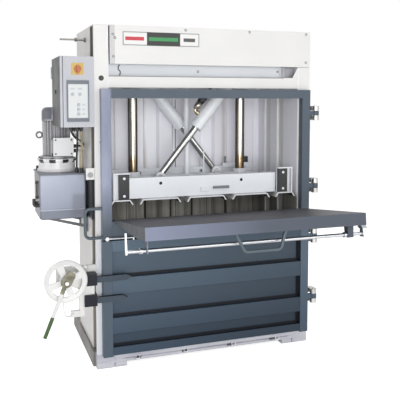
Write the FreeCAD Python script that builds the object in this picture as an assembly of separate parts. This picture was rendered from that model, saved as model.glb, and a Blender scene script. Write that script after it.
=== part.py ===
import FreeCAD, Part
import math
import os

# A vertical baler with a wide folding feed flap, two crossed press cylinders and a power unit on
# its left wall.  Millimetres; X runs to the right seen from the front, the front faces -Y, Z is up.
# It is drawn from the floor, the middle of the body's width and the plane of the body's front, and
# written out about the middle of the floor area that the whole machine takes with its flap open.

V = FreeCAD.Vector
X_AXIS = V(1, 0, 0)
Y_AXIS = V(0, 1, 0)
Z_AXIS = V(0, 0, 1)
FIT = 0.05                # radial running fit of a shaft in its bore
SEAT = 0.3                # gap of a part that rests on a curved or moving neighbour
GAP = 2.0                 # air between parts that pass each other
FOOTPRINT_X = -155.0      # middle of the whole machine's floor area, in the drawing
FOOTPRINT_Y = 35.0

# ---- body ----
HALF_WIDTH = 785.0
BODY_HEIGHT = 2280.0
WALL_DEPTH = 690.0        # front to back
WALL_THICK = 95.0         # box section side walls
WALL_SHEET = 6.0
CHAMBER_HALF = HALF_WIDTH - WALL_THICK
GROOVE_FRONT = 25.0       # vertical groove beside the front column
GROOVE_WIDTH = 120.0
GROOVE_DEPTH = 45.0
ROOF_THICK = 4.0
SWITCH_BRACKET_Z = 1312.0 # door switch on the left wall
REAR_THICK = 20.0
REAR_RIB = 30.0

# ---- base ----
BASE_HEIGHT = 100.0
BASE_HALF = 800.0
BASE_LENGTH = 930.0
BASE_WEB = 12.0
BEAM_INNER = 668.0        # inner edge of the long base beams
SILL_DEPTH = 60.0
SILL_TOP = 90.0
SILL_BOTTOM = 30.0
FLOOR_THICK = 12.0
STRAP_PITCH = 336.0
STRAP_SLOT = 44.0

# ---- head ----
HEAD_HEIGHT = 328.0       # roof down to the front beam's top
BEAM_HEIGHT = 76.0
RECESS_HEIGHT = 78.0      # front beam up to the top cover
BEAM_TOP = BODY_HEIGHT - HEAD_HEIGHT
BEAM_BOTTOM = BEAM_TOP - BEAM_HEIGHT
BEAM_DEPTH = 60.0
COVER_BOTTOM = BEAM_TOP + RECESS_HEIGHT
COVER_LEFT = -680.0
COVER_PROUD = 2.0
COVER_FLANGE = 20.0
SHEET = 2.5

# ---- doors ----
DOOR_LEFT = -750.0
DOOR_RIGHT = 766.0
DOOR_THICK = 52.0
DOOR_BACK = -2.0
DOOR_FRONT = DOOR_BACK - DOOR_THICK
POST = 64.0
DOOR_BOTTOM = 94.0
DOOR_SPLIT = 878.0
SPLIT_GAP = 10.0
DOOR_TOP = BEAM_BOTTOM - SPLIT_GAP
TOP_RAIL = 60.0
WINDOW_SILL = DOOR_SPLIT + 122.0
BOTTOM_RAIL_TOP = 156.0
MIDDLE_RAIL = 73.0
PANEL_SHEET = 6.0
BAND_FRONT = -50.0
TROUGH_FRONT = -16.0
BAND_HEIGHT = 112.0
BAND_LEVELS = (246.0, 513.0)
EDGE_ROUND = 4.0
LATCH_Z = DOOR_SPLIT + 15.0     # latch arm at the foot of the upper door

# ---- door hinges ----
HINGE_X = 822.0
HINGE_Y = -28.0
KNUCKLE_R = 25.0
HINGE_PIN_R = 10.0
KNUCKLE_H = 34.0
HINGE_LEVELS_LOWER = (DOOR_BOTTOM + 256.0, DOOR_SPLIT - 78.0)
HINGE_LEVELS_UPPER = (DOOR_SPLIT + 294.0, DOOR_TOP - 166.0)

# ---- feed flap ----
FLAP_LEFT = -676.0
FLAP_RIGHT = 706.0
FLAP_LENGTH = 790.0
FLAP_LIP = 74.0
FLAP_SHEET = 5.0
FLAP_RISE = 7.0           # degrees that the open flap stands above level
FLAP_AXIS_Y = -70.0
FLAP_AXIS_Z = WINDOW_SILL + 4.0
FLAP_OVER_AXIS = 12.0     # top face above the hinge axis
FLAP_PIN_R = 8.0
FLAP_KNUCKLE_R = 11.0
FLAP_KNUCKLE = 60.0       # length of each knuckle
LUG = 14.0                # door lug beside a knuckle
BAR_ALONG = 655.0         # lock bar, measured along the flap from its hinge
BAR_DROP = 138.0
BAR_R = 11.0
BAR_LEFT = -748.0
BAR_RIGHT = 790.0
BAR_BRACKET_INSET = 40.0  # from each end of the flap
RIB_DROP = 62.0           # cross rib under the flap
HANDLE_R = 10.0

# ---- press ram ----
PLATEN_BOTTOM = 1120.0
PLATEN_SHEET = 8.0
PLATEN_HALF = CHAMBER_HALF - 6.0
PLATEN_FRONT = 14.0
PLATEN_REAR = 606.0
PLATEN_LIP = 34.0
GUIDE_HEIGHT = 180.0      # brackets with the sliding blocks
RAM_BEAM_TOP = PLATEN_BOTTOM + 148.0
RAM_BEAM_HALF = 545.0
REAR_BEAM_HALF = 590.0
ROD_X = 425.0
ROD_Y = 440.0
ROD_R = 35.0
ROD_TOP = BODY_HEIGHT - 12.0
BUSH_R = 50.0
TUBE_X = -10.0            # stroke tube between the cylinders
TUBE_R = 21.0
HOLE_ROOM = 10.0          # round each rod in the roof

# ---- press cylinders ----
PIVOT_X = 265.0
PIVOT_Z = PLATEN_BOTTOM + 123.0
HEAD_PIVOT_X = 430.0
HEAD_PIVOT_Z = BODY_HEIGHT - 160.0
FRONT_CYL_Y = 300.0
REAR_CYL_Y = 560.0
PISTON_ROD_R = 25.0
BARREL_R = 50.0
BARREL_BORE = 40.0
EXPOSED_ROD = 445.0       # clevis pin to the barrel's mouth
PISTON_INSIDE = 283.0
PISTON_LENGTH = 30.0
GLAND_LENGTH = 30.0
EYE_R = 36.0
EYE_WIDTH = 54.0
CLEVIS_PIN_R = 20.0
EAR = 12.0

# ---- control cabinet ----
CABINET_LEFT = -985.0
CABINET_RIGHT = -HALF_WIDTH - 3.0
CABINET_FRONT = -20.0
CABINET_DEPTH = 420.0
CABINET_BOTTOM = BODY_HEIGHT - 660.0
CABINET_HEIGHT = 452.0
CABINET_DOOR = 15.0
CABINET_SEAL = 4.0
CABINET_SHEET = 3.0
CABINET_RIM = 18.0        # flange round the cabinet's open side
CABINET_HINGE_R = 6.0
CABINET_KNUCKLE = 40.0    # height of each hinge knuckle
CABINET_HINGES = (80.0, 360.0)      # above the cabinet's foot
LOCK_HOLE_Y = 200.0
LOCK_HOLE_Z = CABINET_BOTTOM + 228.0
KEY_BARREL_R = 9.0
SWITCH_X = CABINET_LEFT + 92.0
SWITCH_Z = CABINET_BOTTOM + 372.0
SWITCH_PLATE = 5.0
SWITCH_SHAFT_R = 9.0
BUTTON_R = 11.0
BUTTON_STROKE = 3.0
PANEL_LEFT = CABINET_LEFT + 22.0
PANEL_RIGHT = CABINET_RIGHT - 34.0
PANEL_FOOT = CABINET_BOTTOM + 36.0
PANEL_HEIGHT = 263.0
BUTTON_STEPS = ((37.0, 175.0), (83.0, 175.0), (74.0, 109.0), (74.0, 79.0), (74.0, 49.0))
BUTTON_PLACES = tuple((PANEL_LEFT + x, PANEL_FOOT + z) for x, z in BUTTON_STEPS)
MOTOR_LEADS = ((-915.0, 150.0, 58.0), (-893.0, 172.0, 90.0))    # gland X and Y, below the box's top
VALVE_LEADS = ((-878.0, 120.0, 330.0), (-850.0, 140.0, 300.0))      # gland X and Y, Y on the lid
CABLE_R = 7.5
GLAND_NUT = 12.0

# ---- power unit ----
TANK_LEFT = -1112.0
TANK_RIGHT = -802.0
TANK_FRONT = 270.0
TANK_REAR = 660.0
TANK_HEIGHT = 297.0
TANK_TOP = CABINET_BOTTOM - 338.0
TANK_BOTTOM = TANK_TOP - TANK_HEIGHT
LID = 10.0
UNIT_X = -965.0
UNIT_Y = 520.0
BELL_R = 137.0
BELL_HEIGHT = 90.0
BELL_WAIST = 9.0
MOTOR_R = 98.0
MOTOR_HEIGHT = 290.0
MOTOR_FOOT = TANK_TOP + LID + BELL_HEIGHT
MOTOR_TOP = MOTOR_FOOT + MOTOR_HEIGHT
COWL_HEIGHT = 72.0
COWL_SHEET = 3.0
SHAFT_R = 9.0
TERMINAL_X = -938.0
TERMINAL_FRONT = 352.0
TERMINAL_WIDTH = 132.0
TERMINAL_HEIGHT = 121.0
TERMINAL_TOP = MOTOR_FOOT + 148.0
TERMINAL_COVER = 12.0
TERMINAL_DEPTH = 60.0

# ---- door lock ----
LOCK_X = -999.0
LOCK_Z = 650.0
WHEEL_R = 136.0
WHEEL_RIM = 33.0
SPINDLE_R = 12.0
SPINDLE_REACH = 134.0     # wheel's back to the hammer head behind the catch plate
SPINDLE_NOSE = 48.0       # in front of the hub, through the ratchet
LEVER_LENGTH = 370.0
LEVER_LEAN = 22.0         # degrees from hanging straight down
ARM_HEIGHT = 38.0
ARM_LEVELS = (614.0, 478.0)
ARM_LEFT = -878.0
CARRIER_FRONT = -78.0
CARRIER_BACK = -46.0
WHEEL_BACK = -102.0       # back of the wheel's hub, clear of the arms' end blocks
WHEEL_HUB = 22.0
RATCHET_THICK = 20.0
GRIP_LENGTH = 136.0


# ---------------------------------------------------------------- helpers
def box(x0, x1, y0, y1, z0, z1):
    return Part.makeBox(x1 - x0, y1 - y0, z1 - z0, V(x0, y0, z0))


def rod(start, direction, radius, length):
    return Part.makeCylinder(radius, length, V(*start), V(*direction))


def pipe(start, direction, outer, inner, length):
    return rod(start, direction, outer, length).cut(rod(start, direction, inner, length))


def prism(points, sweep):
    face = Part.Face(Part.makePolygon(points + [points[0]]))
    return face.extrude(sweep)


def prism_x(outline, x0, x1):
    """An outline of (y, z) pairs drawn out along X."""
    return prism([V(x0, y, z) for y, z in outline], V(x1 - x0, 0, 0))


def prism_y(outline, y0, y1):
    """An outline of (x, z) pairs drawn out along Y."""
    return prism([V(x, y0, z) for x, z in outline], V(0, y1 - y0, 0))


def prism_z(outline, z0, z1):
    """An outline of (x, y) pairs drawn out along Z."""
    return prism([V(x, y, z0) for x, y in outline], V(0, 0, z1 - z0))


def box_section(outline, sheet, z0, z1):
    """A closed section folded from one sheet, drawn upwards from an outline of (x, y) pairs."""
    points = [V(x, y, z0) for x, y in outline]
    face = Part.Face(Part.makePolygon(points + [points[0]]))
    inside = face.makeOffset2D(-sheet, 2)
    return face.cut(inside).extrude(V(0, 0, z1 - z0))


def fuse(shapes):
    return shapes[0].fuse(shapes[1:]).removeSplitter()


def cut(shape, tools):
    return shape.cut(tools)


def mirrored(shape):
    return shape.mirror(V(0, 0, 0), X_AXIS)


def bent_tube(points, radius, bend):
    """A round tube along straight runs joined by tangent arcs of one bend radius."""
    edges = []
    start = V(*points[0])
    for before, corner, after in zip(points, points[1:], points[2:]):
        corner = V(*corner)
        into = (corner - V(*before)).normalize()
        out = (V(*after) - corner).normalize()
        half_turn = into.getAngle(out) / 2
        reach = bend * math.tan(half_turn)
        arc_start = corner - into * reach
        arc_end = corner + out * reach
        middle_way = (out - into).normalize()
        arc_middle = corner + middle_way * (bend / math.cos(half_turn) - bend)
        edges.append(Part.LineSegment(start, arc_start).toShape())
        edges.append(Part.Arc(arc_start, arc_middle, arc_end).toShape())
        start = arc_end
    end = V(*points[-1])
    edges.append(Part.LineSegment(start, end).toShape())
    first_way = (V(*points[1]) - V(*points[0])).normalize()
    circle = Part.Wire(Part.makeCircle(radius, V(*points[0]), first_way))
    return Part.Wire(edges).makePipeShell([circle], True, True)


def strap_places():
    return [(step - 1.5) * STRAP_PITCH for step in range(4)]


# ---------------------------------------------------------------- base
def base_frame():
    beam = prism_y([(-BASE_HALF, 0), (-BEAM_INNER, 0), (-BEAM_INNER, BASE_WEB),
                    (-BASE_HALF + BASE_WEB, BASE_WEB), (-BASE_HALF + BASE_WEB, BASE_HEIGHT - BASE_WEB),
                    (-BEAM_INNER, BASE_HEIGHT - BASE_WEB), (-BEAM_INNER, BASE_HEIGHT),
                    (-BASE_HALF, BASE_HEIGHT)], SILL_DEPTH, BASE_LENGTH)
    cross_inner = BASE_HALF - BASE_WEB
    crosses = [box(-cross_inner, cross_inner, y, y + SILL_DEPTH, BASE_WEB, BASE_HEIGHT - BASE_WEB)
               for y in (SILL_DEPTH, WALL_DEPTH / 2, WALL_DEPTH - SILL_DEPTH)]
    floor = box(-CHAMBER_HALF, CHAMBER_HALF, 0, WALL_DEPTH - REAR_THICK - REAR_RIB - GAP,
                BASE_HEIGHT - BASE_WEB, BASE_HEIGHT + FLOOR_THICK)
    grooves = [box(x - STRAP_SLOT / 2, x + STRAP_SLOT / 2, -1, WALL_DEPTH,
                   BASE_HEIGHT, BASE_HEIGHT + FLOOR_THICK + 1) for x in strap_places()]
    return cut(fuse([beam, mirrored(beam)] + crosses + [floor]), grooves)


def base_sill():
    low = SILL_BOTTOM
    step = SILL_TOP - 28
    sill = prism_x([(-8, step), (-8, SILL_TOP), (0, SILL_TOP), (0, BASE_HEIGHT - BASE_WEB),
                    (SILL_DEPTH, BASE_HEIGHT - BASE_WEB), (SILL_DEPTH, low), (4, low), (4, step)],
                   -BEAM_INNER, BEAM_INNER)
    blocks = [box(-HALF_WIDTH, -BEAM_INNER, 0, SILL_DEPTH, 0, BASE_HEIGHT),
              box(BEAM_INNER, HALF_WIDTH, 0, SILL_DEPTH, 0, BASE_HEIGHT)]
    feet = [box(side * (BEAM_INNER - 5) - 40, side * (BEAM_INNER - 5) + 40, 2, SILL_DEPTH, 0, low)
            for side in (-0.94, 0.94)]
    outlets = [box(x - STRAP_SLOT / 2, x + STRAP_SLOT / 2, -20, SILL_DEPTH + 1, low + 10, step - 4)
               for x in strap_places()]
    floor_seat = box(-CHAMBER_HALF, CHAMBER_HALF, 0, SILL_DEPTH + 1, BASE_HEIGHT - BASE_WEB, BASE_HEIGHT + 1)
    return cut(fuse([sill] + blocks + feet), outlets + [floor_seat])


# ---------------------------------------------------------------- body walls
def side_wall():
    """Plan of the left wall: front column, groove, outer skin and folded inner skin."""
    outer = -HALF_WIDTH
    inner = -CHAMBER_HALF
    groove_end = GROOVE_FRONT + GROOVE_WIDTH
    flute = 12.0
    outline = [(outer, 0), (outer, GROOVE_FRONT), (outer + GROOVE_DEPTH, GROOVE_FRONT),
               (outer + GROOVE_DEPTH, groove_end), (outer, groove_end), (outer, WALL_DEPTH),
               (inner, WALL_DEPTH)]
    for share in (0.72, 0.4):
        middle = WALL_DEPTH * share
        outline += [(inner, middle + 52), (inner - flute, middle + 40),
                    (inner - flute, middle - 40), (inner, middle - 52)]
    outline.append((inner, 0))
    return box_section(outline, WALL_SHEET, BASE_HEIGHT, BODY_HEIGHT - ROOF_THICK)


def side_wall_left():
    """The left wall with the door switch's bracket plate and its round head."""
    left = -HALF_WIDTH - 56
    plate = box(left, -HALF_WIDTH, 20, 26, SWITCH_BRACKET_Z - 38, SWITCH_BRACKET_Z + 38)
    disc = rod((left + 28, 20, SWITCH_BRACKET_Z - 6), (0, -1, 0), 17, 8)
    return fuse([side_wall(), plate, disc])


def side_wall_right():
    """The left wall mirrored, with a notch that the top cover's flange sits in."""
    notch = box(CHAMBER_HALF - 1, HALF_WIDTH + 1, -1, COVER_FLANGE, COVER_BOTTOM - GAP, BODY_HEIGHT)
    return cut(mirrored(side_wall()), [notch])


def rear_wall():
    """Double-skinned rear panel with raised vertical ribs on the chamber side."""
    back = WALL_DEPTH
    face = WALL_DEPTH - REAR_THICK
    rib_count = 6
    pitch = 2 * CHAMBER_HALF / rib_count
    outline = [(-CHAMBER_HALF, back), (-CHAMBER_HALF, face)]
    for number in range(rib_count):
        start = -CHAMBER_HALF + number * pitch
        outline += [(start + 0.2 * pitch, face), (start + 0.28 * pitch, face - REAR_RIB),
                    (start + 0.72 * pitch, face - REAR_RIB), (start + 0.8 * pitch, face)]
    outline += [(CHAMBER_HALF, face), (CHAMBER_HALF, back)]
    return box_section(outline, WALL_SHEET, BASE_HEIGHT, BODY_HEIGHT - ROOF_THICK)


def roof_plate():
    plate = box(-HALF_WIDTH, HALF_WIDTH, 0, WALL_DEPTH, BODY_HEIGHT - ROOF_THICK, BODY_HEIGHT)
    holes = [rod((x, ROD_Y, BODY_HEIGHT - 10), (0, 0, 1), radius + HOLE_ROOM, 20)
             for x, radius in ((-ROD_X, ROD_R), (ROD_X, ROD_R), (TUBE_X, TUBE_R))]
    cover_seat = box(COVER_LEFT - GAP, HALF_WIDTH + 1, -1, COVER_FLANGE, BODY_HEIGHT - 10, BODY_HEIGHT + 1)
    return cut(plate, holes + [cover_seat])


# ---------------------------------------------------------------- head
def pivot_ears(y, x):
    """Two ear plates that hang from the roof on both sides of a barrel."""
    inner = BARREL_R + 4
    ears = []
    for side in (-1, 1):
        near = y + side * inner
        far = y + side * (inner + EAR)
        outline = [(x - 95, BODY_HEIGHT - ROOF_THICK), (x + 95, BODY_HEIGHT - ROOF_THICK),
                   (x + 60, HEAD_PIVOT_Z - 60), (x - 60, HEAD_PIVOT_Z - 60)]
        ear = prism_y(outline, min(near, far), max(near, far))
        hole = rod((x, min(near, far) - 1, HEAD_PIVOT_Z), (0, 1, 0), CLEVIS_PIN_R, EAR + 2)
        ears.append(cut(ear, [hole]))
    return ears


def head_frame():
    rear_face = WALL_DEPTH - REAR_THICK - REAR_RIB
    carrier = BUSH_R + 22
    front = box(-CHAMBER_HALF, CHAMBER_HALF, 0, BEAM_DEPTH, BEAM_BOTTOM, BEAM_TOP)
    rear = box(-CHAMBER_HALF, CHAMBER_HALF, rear_face - 4, rear_face, BEAM_BOTTOM, BEAM_TOP)
    left = box(-ROD_X - carrier, -ROD_X + carrier, BEAM_DEPTH, ROD_Y + carrier - 20,
               BEAM_BOTTOM, BEAM_TOP)
    right = box(ROD_X - carrier, ROD_X + carrier, ROD_Y - carrier + 16, rear_face - 4,
                BEAM_BOTTOM, BEAM_TOP)
    gusset = prism_y([(CHAMBER_HALF - 40, BEAM_TOP), (CHAMBER_HALF, BEAM_TOP),
                      (CHAMBER_HALF, COVER_BOTTOM - GAP)], 4, 10)
    seats = [rod((x, ROD_Y, BEAM_BOTTOM - 1), (0, 0, 1), BUSH_R, BEAM_TOP - BEAM_BOTTOM + 2)
             for x in (-ROD_X, ROD_X)]
    body = cut(fuse([front, rear, left, right, gusset]), seats)
    ears = pivot_ears(FRONT_CYL_Y, HEAD_PIVOT_X) + pivot_ears(REAR_CYL_Y, -HEAD_PIVOT_X)
    return Part.makeCompound([body] + ears)


def rod_bushes():
    rings = []
    for x in (-ROD_X, ROD_X):
        bush = pipe((x, ROD_Y, BEAM_BOTTOM), (0, 0, 1), BUSH_R, ROD_R + FIT, BEAM_TOP - BEAM_BOTTOM)
        collar = pipe((x, ROD_Y, BEAM_BOTTOM - 8), (0, 0, 1), BUSH_R + 10, ROD_R + FIT, 8)
        rings.append(fuse([bush, collar]))
    return Part.makeCompound(rings)


def top_cover():
    """Folded pan with a flange all round."""
    left, right = COVER_LEFT, HALF_WIDTH
    bottom, top = COVER_BOTTOM, BODY_HEIGHT
    shell = box(left, right, -COVER_PROUD, COVER_FLANGE, bottom, top)
    hollow = box(left + SHEET, right - SHEET, -COVER_PROUD + SHEET, COVER_FLANGE + 1,
                 bottom + SHEET, top - SHEET)
    return cut(shell, [hollow])


def recess_panel():
    """Set-back panel over the front beam, with a return fold at its foot."""
    right = CHAMBER_HALF - 110
    left = -CHAMBER_HALF
    upright = box(left, right, BEAM_DEPTH - 12, BEAM_DEPTH - 12 + SHEET, BEAM_TOP, COVER_BOTTOM + 60)
    foot = box(left, right, 14, BEAM_DEPTH - 12, BEAM_TOP, BEAM_TOP + SHEET)
    end = box(right, right + SHEET, 6, BEAM_DEPTH - 12 + SHEET, BEAM_TOP, COVER_BOTTOM - GAP)
    return fuse([upright, foot, end])


def stay_rod():
    """Threaded rod with its nuts in the left wall."""
    y = 300.0
    z = BODY_HEIGHT - 75
    outside = 175.0
    shank = rod((-HALF_WIDTH - outside, y, z), (1, 0, 0), 6, outside)
    thick_end = rod((-HALF_WIDTH - 60, y, z), (1, 0, 0), 8, 60)
    nut = hexagon((-HALF_WIDTH - 75, y, z), 15, 14)
    plate = hexagon((-HALF_WIDTH - 14, y, z), 17, 14)
    return fuse([shank, thick_end, nut, plate])


def hexagon(start, corner_radius, length):
    """A six-sided bar along +X."""
    x, y, z = start
    points = [V(x, y + corner_radius * math.cos(turn * math.pi / 3),
                z + corner_radius * math.sin(turn * math.pi / 3)) for turn in range(6)]
    return prism(points, V(length, 0, 0))


# ---------------------------------------------------------------- door hinges
def frame_knuckle_levels(middle):
    return (middle - 1.5 * KNUCKLE_H, middle + 0.5 * KNUCKLE_H + 1)


def hinge_brackets():
    """Fixed knuckles with their leaves on the right wall, and a pin in each pair."""
    brackets = []
    for middle in HINGE_LEVELS_LOWER + HINGE_LEVELS_UPPER:
        for bottom in frame_knuckle_levels(middle):
            height = KNUCKLE_H - 1
            knuckle = rod((HINGE_X, HINGE_Y, bottom), (0, 0, 1), KNUCKLE_R, height)
            leaf = box(HALF_WIDTH, HINGE_X + KNUCKLE_R, 2, 46, bottom, bottom + height)
            neck = box(HINGE_X - 12, HINGE_X + KNUCKLE_R, HINGE_Y, 4, bottom, bottom + height)
            brackets.append(fuse([knuckle, leaf, neck]))
        pin_bottom = middle - 1.5 * KNUCKLE_H + 4
        brackets.append(rod((HINGE_X, HINGE_Y, pin_bottom), (0, 0, 1), HINGE_PIN_R, 3 * KNUCKLE_H))
    pins = brackets[2::3]
    leaves = [shape for number, shape in enumerate(brackets) if number % 3 != 2]
    return Part.makeCompound([cut(leaf, pins) for leaf in leaves] + pins)


def door_leaves(middles):
    """The door's own knuckles, one between each pair of fixed ones."""
    leaves = []
    for middle in middles:
        bottom = middle - 0.5 * KNUCKLE_H + 1
        height = KNUCKLE_H - 2
        knuckle = rod((HINGE_X, HINGE_Y, bottom), (0, 0, 1), KNUCKLE_R, height)
        leaf = box(DOOR_RIGHT - 20, HINGE_X, HINGE_Y - 12, HINGE_Y + 12, bottom, bottom + height)
        leaves.append(fuse([knuckle, leaf]))
    return leaves


def hinge_bores(middles):
    return [rod((HINGE_X, HINGE_Y, middle - KNUCKLE_H), (0, 0, 1), HINGE_PIN_R + FIT, 2 * KNUCKLE_H)
            for middle in middles]


# ---------------------------------------------------------------- doors
def door_post(x0, x1, z0, z1):
    post = box(x0, x1, DOOR_FRONT, DOOR_BACK, z0, z1)
    corners = [edge for edge in post.Edges
               if edge.BoundBox.YMax < DOOR_FRONT + 1 and edge.BoundBox.ZLength > 1]
    return post.makeFillet(EDGE_ROUND, corners)


def lower_panel():
    """Folded sheet with two raised bands, as a side profile drawn out across the door."""
    slope = 10.0
    top = DOOR_SPLIT - SPLIT_GAP / 2 - MIDDLE_RAIL
    front = [(TROUGH_FRONT, BOTTOM_RAIL_TOP)]
    for level in BAND_LEVELS:
        front += [(TROUGH_FRONT, level), (BAND_FRONT, level + slope / 3),
                  (BAND_FRONT, level + BAND_HEIGHT - slope / 3), (TROUGH_FRONT, level + BAND_HEIGHT)]
    front.append((TROUGH_FRONT, top))
    back = [(y + PANEL_SHEET, z) for y, z in reversed(front)]
    return prism_x(front + back, DOOR_LEFT + POST, DOOR_RIGHT - POST)


def lower_door():
    top = DOOR_SPLIT - SPLIT_GAP / 2
    left = door_post(DOOR_LEFT, DOOR_LEFT + POST, DOOR_BOTTOM, top)
    right = door_post(DOOR_RIGHT - POST, DOOR_RIGHT, DOOR_BOTTOM, top)
    inner_left = DOOR_LEFT + POST
    inner_right = DOOR_RIGHT - POST
    bottom_rail = box(inner_left, inner_right, DOOR_FRONT + 4, DOOR_BACK, DOOR_BOTTOM + 8, BOTTOM_RAIL_TOP)
    top_rail = box(inner_left, inner_right, DOOR_FRONT + 4, DOOR_BACK, top - MIDDLE_RAIL, top)
    body = fuse([left, right, bottom_rail, top_rail, lower_panel()] + door_leaves(HINGE_LEVELS_LOWER))
    return cut(body, hinge_bores(HINGE_LEVELS_LOWER))


def flap_knuckle_spans():
    """Four flap knuckles along X, each between two door lugs."""
    middles = [FLAP_LEFT + (FLAP_RIGHT - FLAP_LEFT) * share for share in (0.08, 0.36, 0.64, 0.92)]
    return [(middle - FLAP_KNUCKLE / 2, middle + FLAP_KNUCKLE / 2) for middle in middles]


def upper_door():
    bottom = DOOR_SPLIT + SPLIT_GAP / 2
    left = door_post(DOOR_LEFT, DOOR_LEFT + POST, bottom, DOOR_TOP)
    right = door_post(DOOR_RIGHT - POST, DOOR_RIGHT, bottom, DOOR_TOP)
    inner_left = DOOR_LEFT + POST
    inner_right = DOOR_RIGHT - POST
    sill = box(inner_left, inner_right, DOOR_FRONT + 4, DOOR_BACK, bottom, WINDOW_SILL)
    top_rail = box(inner_left, inner_right, DOOR_FRONT, DOOR_BACK, DOOR_TOP - TOP_RAIL, DOOR_TOP)
    lugs = []
    for x0, x1 in flap_knuckle_spans():
        for start in (x0 - GAP - LUG, x1 + GAP):
            foot = box(start, start + LUG, FLAP_AXIS_Y, DOOR_FRONT + 6,
                       FLAP_AXIS_Z - 26, FLAP_AXIS_Z)
            eye = rod((start, FLAP_AXIS_Y, FLAP_AXIS_Z), (1, 0, 0), FLAP_KNUCKLE_R, LUG)
            lugs.append(fuse([eye, foot]))
    first = flap_knuckle_spans()[0][0] - 20
    last = flap_knuckle_spans()[-1][1] + 20
    hinge_rod = rod((first, FLAP_AXIS_Y, FLAP_AXIS_Z), (1, 0, 0), FLAP_PIN_R, last - first)
    body = fuse([left, right, sill, top_rail, hinge_rod] + lugs + door_leaves(HINGE_LEVELS_UPPER))
    return cut(body, hinge_bores(HINGE_LEVELS_UPPER))


def grab_handle():
    """Bent round bar beside the upper door, for pulling it open."""
    z_high, z_low = WINDOW_SILL + 92, DOOR_SPLIT + 22
    out = DOOR_LEFT - 112
    y = DOOR_FRONT / 2 - 22
    points = [(DOOR_LEFT, y, z_high), (out, y, z_high), (out, y, z_low), (DOOR_LEFT, y, z_low)]
    return bent_tube(points, HANDLE_R, 34)


def door_latch():
    """Latch arm at the foot of the upper door, with its boss and short down-turned end."""
    y = DOOR_FRONT - 16
    pivot = DOOR_LEFT + 26
    reach = 180.0
    boss = rod((pivot, DOOR_FRONT - SEAT, LATCH_Z), (0, -1, 0), 13, 26)
    arm = rod((pivot, y, LATCH_Z), (1, 0, 0), 7, reach)
    end = box(pivot + reach - 10, pivot + reach, y - 6, y + 6, LATCH_Z - 15, LATCH_Z)
    return fuse([boss, arm, end])


# ---------------------------------------------------------------- feed flap
def to_flap(shape):
    """Turns a piece drawn for a level flap up to the angle at which the flap stands open."""
    shape.rotate(V(0, FLAP_AXIS_Y, FLAP_AXIS_Z), X_AXIS, -FLAP_RISE)
    return shape


def flap():
    top = FLAP_AXIS_Z + FLAP_OVER_AXIS
    hinge_edge = FLAP_AXIS_Y - FLAP_PIN_R - 6
    front = FLAP_AXIS_Y - FLAP_LENGTH
    under = top - FLAP_SHEET
    lip_bottom = top - FLAP_LIP
    outer = box(FLAP_LEFT, FLAP_RIGHT, front, hinge_edge, lip_bottom, top)
    hollow = box(FLAP_LEFT + FLAP_SHEET, FLAP_RIGHT - FLAP_SHEET, front + FLAP_SHEET, hinge_edge + 1,
                 lip_bottom - 1, under)
    side_taper = prism_x([(hinge_edge + 1, lip_bottom - 1), (front + 160, lip_bottom - 1),
                          (hinge_edge + 1, under - 14)], FLAP_LEFT - 1, FLAP_RIGHT + 1)
    pan = cut(outer, [hollow, side_taper])
    pieces = [pan]
    rib = prism_x([(front + 60, under), (front + 66, under - RIB_DROP), (front + 104, under - RIB_DROP),
                   (front + 110, under)], FLAP_LEFT + 30, FLAP_RIGHT - 30)
    pieces.append(rib)
    for share in (0.25, 0.5, 0.75):
        x = FLAP_LEFT + (FLAP_RIGHT - FLAP_LEFT) * share
        pieces.append(prism_x([(hinge_edge, under), (hinge_edge, under - 16), (front + 110, under - 34),
                               (front + 110, under)], x - 4, x + 4))
    bar_y = FLAP_AXIS_Y - BAR_ALONG
    bar_z = top - BAR_DROP
    for x, thick in zip(bracket_places(), (8.0, 40.0)):
        bracket = prism_x([(bar_y - 30, under), (bar_y + 30, under), (bar_y + 18, bar_z - 18),
                           (bar_y - 18, bar_z - 18)], x - thick / 2, x + thick / 2)
        pieces.append(bracket)
    for x0, x1 in flap_knuckle_spans():
        pieces.append(rod((x0, FLAP_AXIS_Y, FLAP_AXIS_Z), (1, 0, 0), FLAP_KNUCKLE_R, x1 - x0))
        pieces.append(box(x0, x1, hinge_edge - 20, FLAP_AXIS_Y, FLAP_AXIS_Z + 3, top))
    bores = [rod((FLAP_LEFT - 1, FLAP_AXIS_Y, FLAP_AXIS_Z), (1, 0, 0), FLAP_PIN_R + FIT,
                 FLAP_RIGHT - FLAP_LEFT + 2),
             rod((FLAP_LEFT - 1, bar_y, bar_z), (1, 0, 0), BAR_R + 0.4, FLAP_RIGHT - FLAP_LEFT + 2)]
    return to_flap(cut(fuse(pieces), bores))


def bracket_places():
    """The X of the plate at the lock bar's left end and of the bearing block at its right end."""
    return (FLAP_LEFT + BAR_BRACKET_INSET, FLAP_RIGHT - BAR_BRACKET_INSET)


def flap_bar():
    """Lock bar with a long lever at its left end and a short claw at its right end."""
    y = FLAP_AXIS_Y - BAR_ALONG
    z = FLAP_AXIS_Z + FLAP_OVER_AXIS - BAR_DROP
    bar = rod((BAR_LEFT, y, z), (1, 0, 0), BAR_R, BAR_RIGHT - BAR_LEFT)
    collars = [rod((x - 40, y, z), (1, 0, 0), BAR_R + 6, 16) for x in bracket_places()]
    lever = prism_x([(y - 10, z - 16), (y + 10, z - 16), (y + 8, z + 104), (y - 8, z + 104)],
                    BAR_LEFT - 9, BAR_LEFT)
    claw = prism_x([(y - 24, z - 20), (y + 20, z - 20), (y + 18, z + 30), (y + 44, z + 40),
                    (y + 10, z + 60), (y - 16, z + 34)], BAR_RIGHT - 34, BAR_RIGHT)
    return to_flap(fuse([bar, lever, claw] + collars))


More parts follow.
